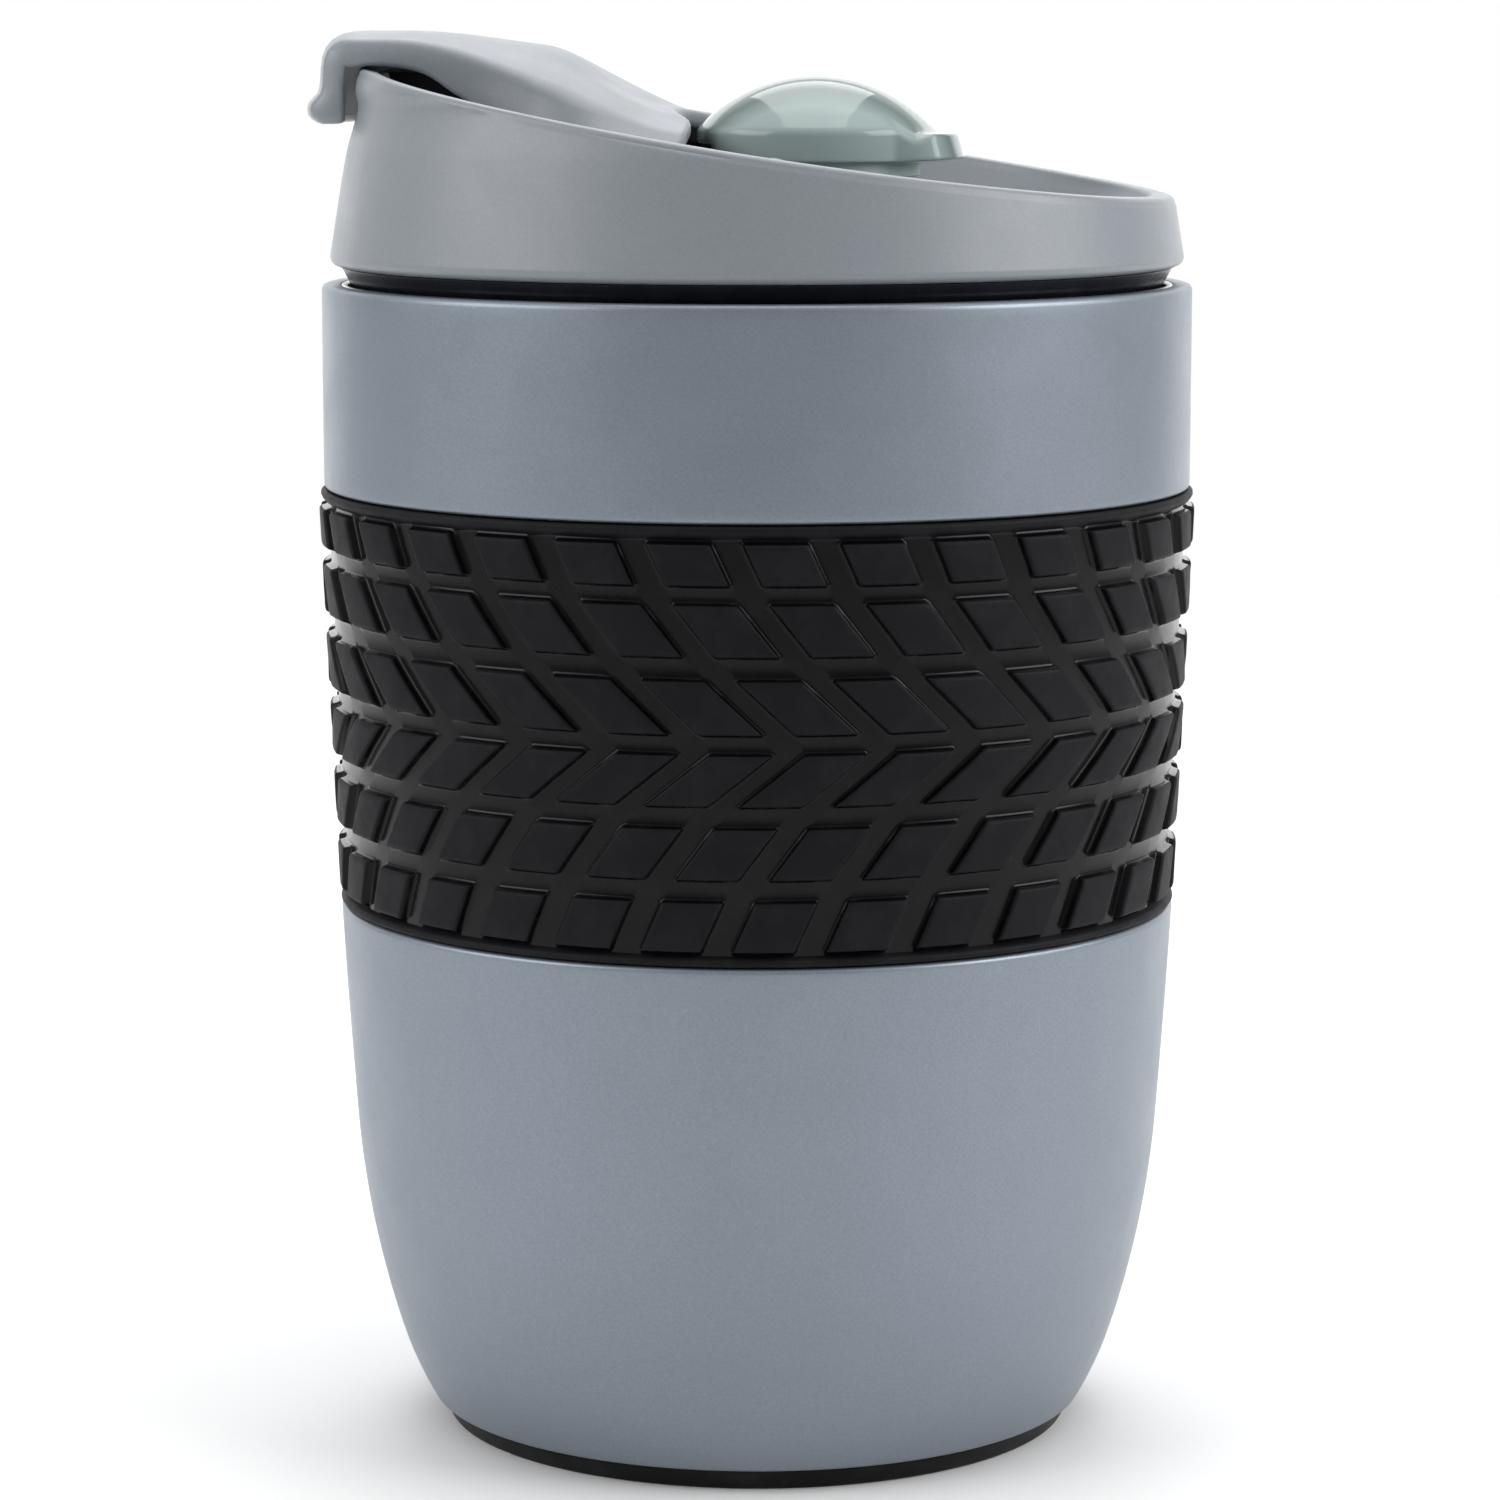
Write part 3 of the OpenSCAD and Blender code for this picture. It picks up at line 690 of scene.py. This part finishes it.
def wall_section(turn):
    """Closed section of the lid at one turn about its axis, as (radius, height) points."""
    c = math.cos(turn)
    top = rim_height(LID_WALL[0][0] * c)
    for _ in range(6):
        top = rim_height(interpolate(LID_WALL, top) * c)
    rim_round = 0.55
    section = [(SKIRT_R, lid_z), (38.2, lid_z)]
    section += [(38.75, lid_z + 0.07), (39.2, lid_z + 0.25), (39.47, lid_z + 0.5)]
    section += [(interpolate(LID_WALL, z), z) for z in spread(lid_z + 0.9, top - 0.75, 44)]
    outer = interpolate(LID_WALL, top)
    inner = well_radius(turn, top - 0.3)
    for r, sign in ((outer, -1), (inner, 1)):
        arc = [math.radians(a) for a in (0, 18, 36, 54, 72, 90)]
        if sign > 0:
            arc.reverse()
        for a in arc:
            rr = r + sign * rim_round * (1 - math.cos(a))
            section.append((rr, rim_height(rr * c) - rim_round * (1 - math.sin(a))))
    corner = 1.0
    floor_r = inner
    for _ in range(4):
        floor_r = well_radius(turn, deck_height(floor_r * c))
    foot = deck_height(floor_r * c)
    section += [(well_radius(turn, z), z) for z in spread(top - 0.9, foot + corner, 10)]
    for a in (25, 50, 70, 90):
        t = math.radians(a)
        rr = floor_r - corner * (1 - math.cos(t))
        section.append((rr, deck_height(rr * c) + corner * (1 - math.sin(t))))
    section += [(rr, deck_height(rr * c)) for rr in spread(floor_r - 2, 0, 24)]
    section += [(rr, deck_height(rr * c, -LID_T)) for rr in spread(0, SKIRT_R - 0.6, 14)]
    section += [(SKIRT_R, deck_height(SKIRT_R * c, -LID_T) - 0.6)]
    return section


def slot_cutter(name, x, length, r, low, high):
    """Cutter for a slot through the lid at x, from height low to height high."""
    outline = slot_outline(length, r)
    return prism(name, outline, lambda u, v, w: (x + u, v, w), low, high, "lid", plastic)


def lid_shell():
    """Visible wall, rim and deck of the lid in one, with the spout's and the vent's holes cut through."""
    points, count = [], 0
    for s in range(SEGMENTS):
        turn = 2 * math.pi * s / SEGMENTS
        section = wall_section(turn)
        count = len(section)
        points += [(r * math.cos(turn), r * math.sin(turn), z) for r, z in section]
    faces = grid_faces(SEGMENTS, count, wrap_rows=True)
    piece = add_piece("lid_wall_and_deck", points, faces, "lid", [plastic])
    spout = slot_cutter("spout_cutter", SPOUT_X, SPOUT_L, 3.6, 100, 130)
    vent = slot_cutter("vent_cutter", VENT_X, 0, 1.3, 100, 130)
    cut(piece, spout, vent)
    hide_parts("lid_shell")


def deck_tube(name, x, length, inner, outer, low, proud):
    """Slot-shaped tube from height low up through the deck at x, with a rounded lip proud of the deck."""
    section = [(inner + 0.2, 0, False), (inner, 0.2, False),
               (inner, -0.4, True), (inner + 0.1, -0.12, True), (inner + 0.35, 0, True),
               (outer - 0.35, 0, True), (outer - 0.1, -0.12, True), (outer, -0.4, True),
               (outer, 0.2, False), (outer - 0.2, 0, False)]
    points = []
    for r, level, at_top in section:
        for u, v in slot_outline(length, r):
            points.append((x + u, v, level + (deck_height(x + u, proud) if at_top else low)))
    faces = grid_faces(len(section), len(points) // len(section), wrap_rows=True)
    return add_piece(name, points, faces, "lid", [plastic])


def spring_cup():
    """Low ring on the rear deck that holds the lever's spring."""
    inner_r, outer_r, low, top = 3.1, 3.9, REAR_Z - 0.6, REAR_Z + 0.8
    outline = rounded([(inner_r, low, 0), (inner_r, top, 0.25), (outer_r, top, 0.25), (outer_r, low, 0)], 4)
    points, faces = revolve_mesh(outline, 64)
    points = [(SPRING_X + x, y, z) for x, y, z in points]
    add_piece("spring_cup", points, faces, "lid", [plastic])


def lid_plug():
    """Hollow plug under the lid, with a rounded foot, the spout's slot and the vent."""
    low, top, wall = plug_low.z, lid_z + 1.6, 1.6
    outline = rounded([
        (0, low, 0), (SKIRT_R - 0.5, low, 0.8), (SKIRT_R, low + 1.6, 0.4), (SKIRT_R, top, 0.2),
        (SKIRT_R - wall, top, 0.2), (SKIRT_R - wall, low + wall, 1.2), (0, low + wall, 0)])
    piece = revolve("plug_body", outline, "lid", plastic)
    spout = slot_cutter("plug_slot", SPOUT_X, SPOUT_L, 3, 90, 120)
    vent = slot_cutter("plug_vent", VENT_X, 0, 1, 90, 120)
    cut(piece, spout, vent)
    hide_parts("lid_plug")


def seal():
    """Silicone seal with two soft fins and the cone that fills the gap over the mug's rim."""
    fin_r, root_r = MOUTH_R - 0.3, MOUTH_R - 0.8
    foot_z = 99.5
    outline = [(SKIRT_R, foot_z, 0.1), (root_r, foot_z, 0.2)]
    for fin_z, root_end in ((100.3, 103.0), (103.8, 106.3)):
        outline += [(fin_r, fin_z, 0.25), (fin_r, fin_z + 0.6, 0.25)]
        outline += [(root_r, fin_z + 1.3, 0.3), (root_r, root_end, 0.3)]
    outline += [(fin_r, rim_z, 0.3), (seal_high.x, lid_z, 0.1), (SKIRT_R, lid_z, 0.1)]
    piece = revolve("seal_skin", rounded(outline, 4), "lid", seal_silicone)
    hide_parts("seal_ring")


def spring():
    """Round-wire compression spring under the rear of the dome, with flattened ends."""
    wire, sides, steps, turns = 0.3, 10, 24, 4.5
    coil_r = spring_high.y - wire
    low, high = spring_low.z + wire, spring_high.z - wire
    points = []
    count = int(turns * steps)
    for i in range(count + 1):
        t = i / count
        a = 2 * math.pi * turns * t
        z = mix(low, high, ease(0.08, 0.92, t) * 0.25 + min(1, max(0, (t - 0.1) / 0.8)) * 0.75)
        for k in range(sides):
            b = 2 * math.pi * k / sides
            r = coil_r + wire * math.cos(b)
            points.append((SPRING_X + r * math.cos(a), r * math.sin(a), z + wire * math.sin(b)))
    ends = [tuple(range(sides)), tuple(reversed(range(len(points) - sides, len(points))))]
    faces = grid_faces(count + 1, sides) + ends
    coil = add_piece("spring_coil", points, faces, "lid", [bright_steel])
    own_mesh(coil)
    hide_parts("lever_spring")


def hinge_posts():
    """Two straight bearing posts for the pin, each with a round head and its foot in the deck."""
    post_w, head_r = 2.8, 2.4
    inner_y = pin_high.y + 0.3 - post_w
    head = [(hinge_x + head_r * math.cos(a), hinge_z + head_r * math.sin(a)) for a in spread(0, math.pi, 25)]
    outline = head + [(hinge_x - head_r, DECK_Z - 2), (hinge_x + head_r, DECK_Z - 2)]
    for side, name in ((1, "left"), (-1, "right")):
        low, high = sorted((side * inner_y, side * (inner_y + post_w)))
        post = prism(f"hinge_post_{name}", outline, lambda u, v, w: (u, w, v), low, high, "lid",
                     plastic)
        soften(post, 0.3)
        bake_modifiers(post)


# ---------- Flip cap ----------

# Half widths over the mouth and at the heel, thickness, where the heel ends, and the hems' rounding
TONGUE_W = 11.2
HEEL_W = 20.0
CAP_T = 1.7
HEEL_X = -4.6
HEM_ROUND = 0.55
# Finger hook in the midplane: outer point, inner point, both as radius and height, and loss of half width
HOOK_PATH = [
    ((40.5, 121.95), (38.6, 122.0), 0.7), ((41.0, 122.05), (38.2, 122.1), 0.3),
    ((41.5, 122.3), (38.0, 122.3), 0.08), ((41.9, 122.7), (38.0, 122.7), 0),
    ((42.0, 123.3), (38.0, 123.3), 0), ((41.9, 123.8), (38.0, 123.8), 0),
    ((41.5, 124.3), (38.0, 124.2), 0), ((41.0, 124.75), (38.0, 124.7), 0),
    ((40.75, 125.4), (38.0, 125.2), 0), ((40.65, 126.3), (38.0, 125.8), 0),
    ((40.6, 127.2), (38.0, 126.4), 0), ((40.45, 128.2), (37.95, 126.9), 0),
    ((40.1, 129.1), (37.85, 127.2), 0), ((39.5, 129.8), (37.65, 127.5), 0),
    ((38.7, 130.25), (37.35, 127.9), 0), ((37.8, 130.45), (37.1, 128.4), 0)]
# Lower edge of the cap's sides over the mouth, as (height, x)
HEM_PATH = [(127.3, -38.0), (127.2, -34.0), (127.0, -31.0), (126.55, -29.2), (125.85, -27.9), (124.9, -26.6),
            (124.1, -25.2), (122.6, -23.0)]


def crest(x):
    return 130.5 - 1.7 * ease(-33, -14, x) - 5.4 * ease(-20, -4.2, x)


def hem(x):
    """Height of the sides' lower edge, which drops behind the lid's wall to just above the deck."""
    return mix(interpolate(HEM_PATH, x), deck_height(x, 0.7), ease(-25, -18, x))


def half_width(x):
    return TONGUE_W + (HEEL_W - TONGUE_W) * ease(-26, -7, x)


def crown_width(x):
    """Half width of the cap's crown, out to the soft edge where its sides begin."""
    return TONGUE_W - 0.7 + 2.2 * ease(-28, -10, x)


def crown_drop(x):
    """How far the crown's edge lies under the crest."""
    return 0.8 + 3.4 * ease(-31, -11, x)


def edge_softness(x):
    return 1.5 + 4.5 * ease(-28, -10, x)


def bow(x, y):
    """Bends the cap's front to follow the lid's round wall."""
    return x + ease(31, 37, -x) * (-x - math.sqrt(max(0.0, x * x - y * y)))


def arch(width, crown, height, drop, soft):
    """Points (across, rise) over a section: up one side, over the crown's soft edges and down the other."""
    drop = min(drop, 0.3 * height)
    over = [(v * crown, height - drop * v * v, 0) for v in spread(-0.8, 0.8, 21)]
    edge = (crown, height - drop, min(soft, 0.45 * height))
    return rounded([(-width, 0, 0), (-edge[0], *edge[1:])] + over + [edge, (width, 0, 0)], 8)


def cap_stations():
    """Crest, inner middle, hem, half width, crown half width, drop and softness at each station."""
    stations = []
    for outer, inner, loss in HOOK_PATH:
        o, i = Vector((-outer[0], outer[1])), Vector((-inner[0], inner[1]))
        h = Vector((-inner[0] - 0.1, min(inner[1], 127.2)))
        stations.append((o, i, h, TONGUE_W - loss, crown_width(-36) - loss, crown_drop(-36), 1.5))
    for x in spread(-36.9, HEEL_X - 0.6, 46):
        o, i, h = Vector((x, crest(x))), Vector((x, crest(x) - CAP_T)), Vector((x, hem(x)))
        stations.append((o, i, h, half_width(x), crown_width(x), crown_drop(x), edge_softness(x)))
    o, i, h, width, crown, drop, soft = stations[-1]
    for ahead, thin in ((0.32, 0.1), (0.52, 0.3), (0.6, 0.6)):
        step = Vector((ahead, 0))
        down = Vector((0, -thin))
        ends = (o + step + down, i + step - down, h + step - down)
        stations.append((*ends, width - thin, crown - thin, drop, soft))
    return stations


def heel_end(y):
    """Where the heel ends at y: on the notch round the dome, with rounded corners outside it."""
    notch = DOME_X - math.sqrt(max(0.0, NOTCH_R ** 2 - y * y)) if abs(y) < NOTCH_R else DOME_X
    outside = min(1.0, max(0.0, abs(y) - (HEEL_W - 4)) / 4)
    edge = HEEL_X - 4 * (1 - math.sqrt(1 - outside ** 2))
    soft = 0.5
    return -soft * math.log(math.exp(-edge / soft) + math.exp(-notch / soft))


def cap_section(station):
    """Closed section of the cap: over its outside, round one hem, back inside and round the other hem."""
    o, i, h, width, crown, drop, soft = station
    down = (h - o).normalized()
    root = h - down * HEM_ROUND
    turn = [math.radians(a) for a in (30, 60, 90, 120, 150)]
    outside = arch(width, crown, (o - root).length, drop, soft)
    inside = arch(width - 2 * HEM_ROUND, crown - 2 * HEM_ROUND, max(0.1, (i - root).dot(-down)), drop, soft)
    section = [(y, root - down * rise) for y, rise in outside]
    across = width - HEM_ROUND
    hems = [(across + HEM_ROUND * math.cos(a), root + down * HEM_ROUND * math.sin(a)) for a in turn]
    section += hems
    section += [(y, root - down * rise) for y, rise in reversed(inside)]
    section += [(-y, p) for y, p in reversed(hems)]
    points = []
    for y, p in section:
        x = p.x + (heel_end(y) - HEEL_X) * ease(-22, HEEL_X, p.x)
        points.append((bow(x, y), y, p.y))
    return points


def flip_cap():
    stations = [cap_section(s) for s in cap_stations()]
    cols = len(stations[0])
    points = [p for section in stations for p in section]
    faces = grid_faces(len(stations), cols)
    hem_middle = cols // 2 - 3
    for row in (0, len(stations) - 1):
        faces += close_end(row * cols, cols, hem_middle)
    piece = add_piece("flip_cap_skin", points, faces, "cap", [plastic], 50)
    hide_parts("flip_cap")


# ---------- Dome lever ----------

# Heights of the lens's lower edge: at its sides, at its nose over the cap's heel, and under the tab
LENS_FOOT = 118.6
NOSE_FOOT = 120.2
TAB_FOOT = 118.3
# Thumb tab: where it starts and ends from the dome's axis, its end's arc, its height and its slope
TAB_START = 11.5
TAB_END = 13.9
TAB_END_R = 12.0
TAB_TOP = 121.05
TAB_SLOPE = 0.06
# Height of the core's underside
CORE_FOOT = 117.1


def tab_share(turn):
    """1 in the direction of the thumb tab and 0 away from it."""
    away = abs(math.atan2(math.sin(turn), math.cos(turn)))
    return 1 - ease(math.radians(26), math.radians(42), away)


def lens_height(r, turn):
    """Height of the dome's outer face at radius r from its axis, with the flare into the thumb tab."""
    dome = dome_top - DOME_R + math.sqrt(max(0.0, DOME_R ** 2 - r * r))
    tab = TAB_TOP + TAB_SLOPE * max(0.0, r - TAB_START)
    soft = 0.5
    flared = tab + soft * math.log(1 + math.exp((dome - tab) / soft))
    return mix(dome, flared, tab_share(turn))


def lens_edge(turn):
    """Radius of the lens's lower edge: round, with the tab's end on a shallow arc."""
    bend = max(1e-6, math.sin(turn) ** 2) / (2 * TAB_END_R)
    along = max(0.5, math.cos(turn))
    arc = (math.sqrt(along ** 2 + 4 * bend * TAB_END) - along) / (2 * bend)
    return mix(DOME_PLAN_R, arc, tab_share(turn))


def inner_dome(r, gap):
    """Height at radius r of a dome that lies gap inside the lens's outer face."""
    return dome_top - DOME_R + math.sqrt((DOME_R - gap) ** 2 - r * r)


def dome_lens():
    """Clear tinted lever: a dome that flares into a thumb tab, hollow over its core."""
    points, count = [], 0
    inner_r = DOME_PLAN_R - LENS_T
    for s in range(SEGMENTS):
        turn = 2 * math.pi * s / SEGMENTS
        edge = lens_edge(turn)
        share = tab_share(turn)
        low = mix(LENS_FOOT, TAB_FOOT, share)
        low += (NOSE_FOOT - LENS_FOOT) * ease(0.74, 0.8, -math.cos(turn))
        section = [(r, lens_height(r, turn), 0) for r in spread(0.0, edge - 1.4, 30)]
        section += [(edge - 0.7 * share, lens_height(edge, turn), 1.3), (edge, low + 0.5 * share, 0.35),
                    (inner_r, low, 0.2)]
        section += [(r, inner_dome(r, LENS_T), 0) for r in spread(inner_r, 0.0, 20)]
        section = rounded(section, 6)
        count = len(section)
        points += [(DOME_X + r * math.cos(turn), r * math.sin(turn), z) for r, z in section]
    faces = grid_faces(SEGMENTS, count, wrap_rows=True)
    piece = add_piece("smoke_dome", points, faces, "lever", [smoke], 50)
    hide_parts("dome_lens")


def dome_core():
    """Opaque core under the lens, with a groove in its underside that clears the hinge pin."""
    gap = LENS_T + 0.1
    inner_r = DOME_PLAN_R - gap
    outline = [(r, inner_dome(r, gap)) for r in spread(0.0, inner_r - 0.3, 16)]
    outline += [(inner_r, inner_dome(inner_r, gap) - 0.5), (inner_r, CORE_FOOT + 0.2)]
    outline += [(inner_r - 0.3, CORE_FOOT), (0, CORE_FOOT)]
    points, faces = revolve_mesh(outline, 120)
    points = [(DOME_X + x, y, z) for x, y, z in points]
    core = add_piece("dome_core_body", points, faces, "lever", [core_plastic])
    bore_r = (pin_high.z - pin_low.z) / 2 + 0.05
    circle = [(bore_r * math.cos(a), bore_r * math.sin(a)) for a in spread(0, 2 * math.pi, 49)[:-1]]
    bore = prism("pin_bore", circle, lambda u, v, w: (hinge_x + u, w, hinge_z + v), -DOME_R, DOME_R,
                 "lever", core_plastic)
    cut(core, bore)
    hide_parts("dome_core")


# ---------- Carried-over CAD nodes ----------


def finish_cad_nodes():
    """Materials of the nodes that keep their CAD shape, and rounded edges on them."""
    finishes = {
        "shell_base": (base_steel, 0.1),
        "vacuum_seal": (bright_steel, 0.1),
        "getter": (bright_steel, 0.1),
        "hinge_pin": (bright_steel, 0.15),
        "cap_frame": (black_plastic, 0.3),
        "spout_plug": (seal_silicone, 0.3),
        "vent_plug": (seal_silicone, 0.15)}
    for node, (material, width) in finishes.items():
        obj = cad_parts[node]
        obj.data.materials.clear()
        obj.data.materials.append(material)
        soften(obj, width)


# ---------- Stage ----------

# Brightness of the paper behind, of the room behind and in front, and what the ceiling adds
PAPER = 1.6
ROOM_BACK = 0.45
ROOM_FRONT = 0.205
CEILING = 0.45
MUG_MIDDLE = Vector((0, 0, 0.07))


def camera():
    """Camera at the measured height and distance, turned a little towards the lid's rear."""
    turn, pitch = math.radians(VIEW_TURN), math.radians(8.25)
    distance, height, aside, lens = 459.6, 129.9, 0.65, 118.03
    data = bpy.data.cameras.new("camera")
    data.lens = lens
    data.sensor_width = 36
    data.clip_start = 0.01
    obj = bpy.data.objects.new("camera", data)
    bpy.context.scene.collection.objects.link(obj)
    right = Vector((math.cos(turn), math.sin(turn), 0))
    place = Vector((distance * math.sin(turn), -distance * math.cos(turn), height)) - right * aside
    obj.location = place * MM
    obj.rotation_euler = (math.pi / 2 - pitch, 0, turn)
    bpy.context.scene.camera = obj


def area_light(name, power, size_x, size_y, turn, rise, distance):
    """Soft box aimed at the mug's middle, turn degrees to the camera's right and raised by rise."""
    data = bpy.data.lights.new(name, "AREA")
    data.shape = "RECTANGLE"
    data.size, data.size_y = size_x, size_y
    data.energy = power
    obj = bpy.data.objects.new(name, data)
    bpy.context.scene.collection.objects.link(obj)
    a, e = math.radians(turn - 90 + VIEW_TURN), math.radians(rise)
    away = Vector((math.cos(a) * math.cos(e), math.sin(a) * math.cos(e), math.sin(e)))
    obj.location = MUG_MIDDLE + away * distance
    obj.rotation_euler = away.to_track_quat("Z", "Y").to_euler()


def studio():
    """White paper behind that ends low over the horizon, in a darker room with a pale ceiling."""
    world = bpy.data.worlds.new("studio")
    bpy.context.scene.world = world
    world.use_nodes = True
    tree = world.node_tree

    def node(kind, **settings):
        made = tree.nodes.new(kind)
        for name, value in settings.items():
            setattr(made, name, value)
        return made

    def fall(value, low, high, to_low, to_high):
        made = node("ShaderNodeMapRange", interpolation_type="SMOOTHSTEP")
        for socket, number in zip(RANGE_SOCKETS, (low, high, to_low, to_high)):
            made.inputs[socket].default_value = number
        tree.links.new(value, made.inputs["Value"])
        return made.outputs["Result"]

    place = node("ShaderNodeTexCoord").outputs["Generated"]
    dot = node("ShaderNodeVectorMath", operation="DOT_PRODUCT")
    front = math.radians(VIEW_TURN - 90)
    dot.inputs[1].default_value = (math.cos(front), math.sin(front), 0)
    tree.links.new(place, dot.inputs[0])
    split = node("ShaderNodeSeparateXYZ")
    tree.links.new(place, split.inputs[0])
    paper = node("ShaderNodeMath", operation="MULTIPLY")
    tree.links.new(fall(dot.outputs["Value"], -0.8, -0.64, PAPER, 0), paper.inputs[0])
    tree.links.new(fall(split.outputs["Z"], 0.40, 0.46, 1, 0), paper.inputs[1])
    light = node("ShaderNodeMath", operation="MAXIMUM")
    tree.links.new(paper.outputs[0], light.inputs[0])
    tree.links.new(fall(dot.outputs["Value"], -0.3, 0.6, ROOM_BACK, ROOM_FRONT), light.inputs[1])
    total = node("ShaderNodeMath", operation="ADD")
    tree.links.new(light.outputs[0], total.inputs[0])
    tree.links.new(fall(split.outputs["Z"], 0.35, 0.9, 0, CEILING), total.inputs[1])
    shade = node("ShaderNodeCombineColor")
    for socket in ("Red", "Green", "Blue"):
        tree.links.new(total.outputs[0], shade.inputs[socket])
    around = tree.nodes["Background"]
    tree.links.new(shade.outputs["Color"], around.inputs["Color"])
    backdrop = node("ShaderNodeBackground")
    backdrop.inputs["Color"].default_value = (1, 1, 1, 1)
    seen = node("ShaderNodeMixShader")
    tree.links.new(node("ShaderNodeLightPath").outputs["Is Camera Ray"], seen.inputs["Fac"])
    tree.links.new(around.outputs[0], seen.inputs[1])
    tree.links.new(backdrop.outputs[0], seen.inputs[2])
    tree.links.new(seen.outputs[0], tree.nodes["World Output"].inputs["Surface"])
    bpy.context.scene.view_settings.view_transform = "Standard"


def floor():
    """Round sheet of pale paper that fades into the backdrop at its edge."""
    size, fade_from = 900, 260
    mesh = bpy.data.meshes.new("floor")
    rim = [(size * math.cos(math.radians(a)), size * math.sin(math.radians(a))) for a in range(0, 360, 5)]
    mesh.from_pydata([(x * MM, y * MM, 0) for x, y in rim], [], [tuple(range(len(rim)))])
    obj = bpy.data.objects.new("floor", mesh)
    bpy.context.scene.collection.objects.link(obj)
    n = Nodes("floor_paper")
    n.colour(n.blend(n.noise(30, 2.0), (0.79, 0.79, 0.79), (0.82, 0.82, 0.82)))
    n.set(Roughness=0.9)
    reach = n.add("ShaderNodeVectorMath")
    reach.operation = "LENGTH"
    n.link(n.place, reach.inputs[0])
    n.link(n.ramp(reach.outputs["Value"], fade_from * MM, size * MM, 1, 0), n.shader.inputs["Alpha"])
    mesh.materials.append(n.material)


body_shell()
liner()
base_pad()
tread_sleeve()
lid_shell()
deck_tube("spout_duct_wall", SPOUT_X, SPOUT_L, 3.0, 4.2, plug_low.z + 1.6, 0.6)
deck_tube("vent_collar", VENT_X, 0, 1.0, 1.9, deck_height(VENT_X, -1.5), 0.18)
spring_cup()
lid_plug()
seal()
spring()
hinge_posts()
flip_cap()
dome_lens()
dome_core()
finish_cad_nodes()
camera()
area_light("top_box", 7.0, 0.6, 1.4, 180, 68, 1.0)
area_light("left_box", 4.4, 0.7, 0.5, -72, 26, 0.9)
area_light("right_box", 6.2, 0.7, 0.5, 76, 26, 0.9)
studio()
floor()
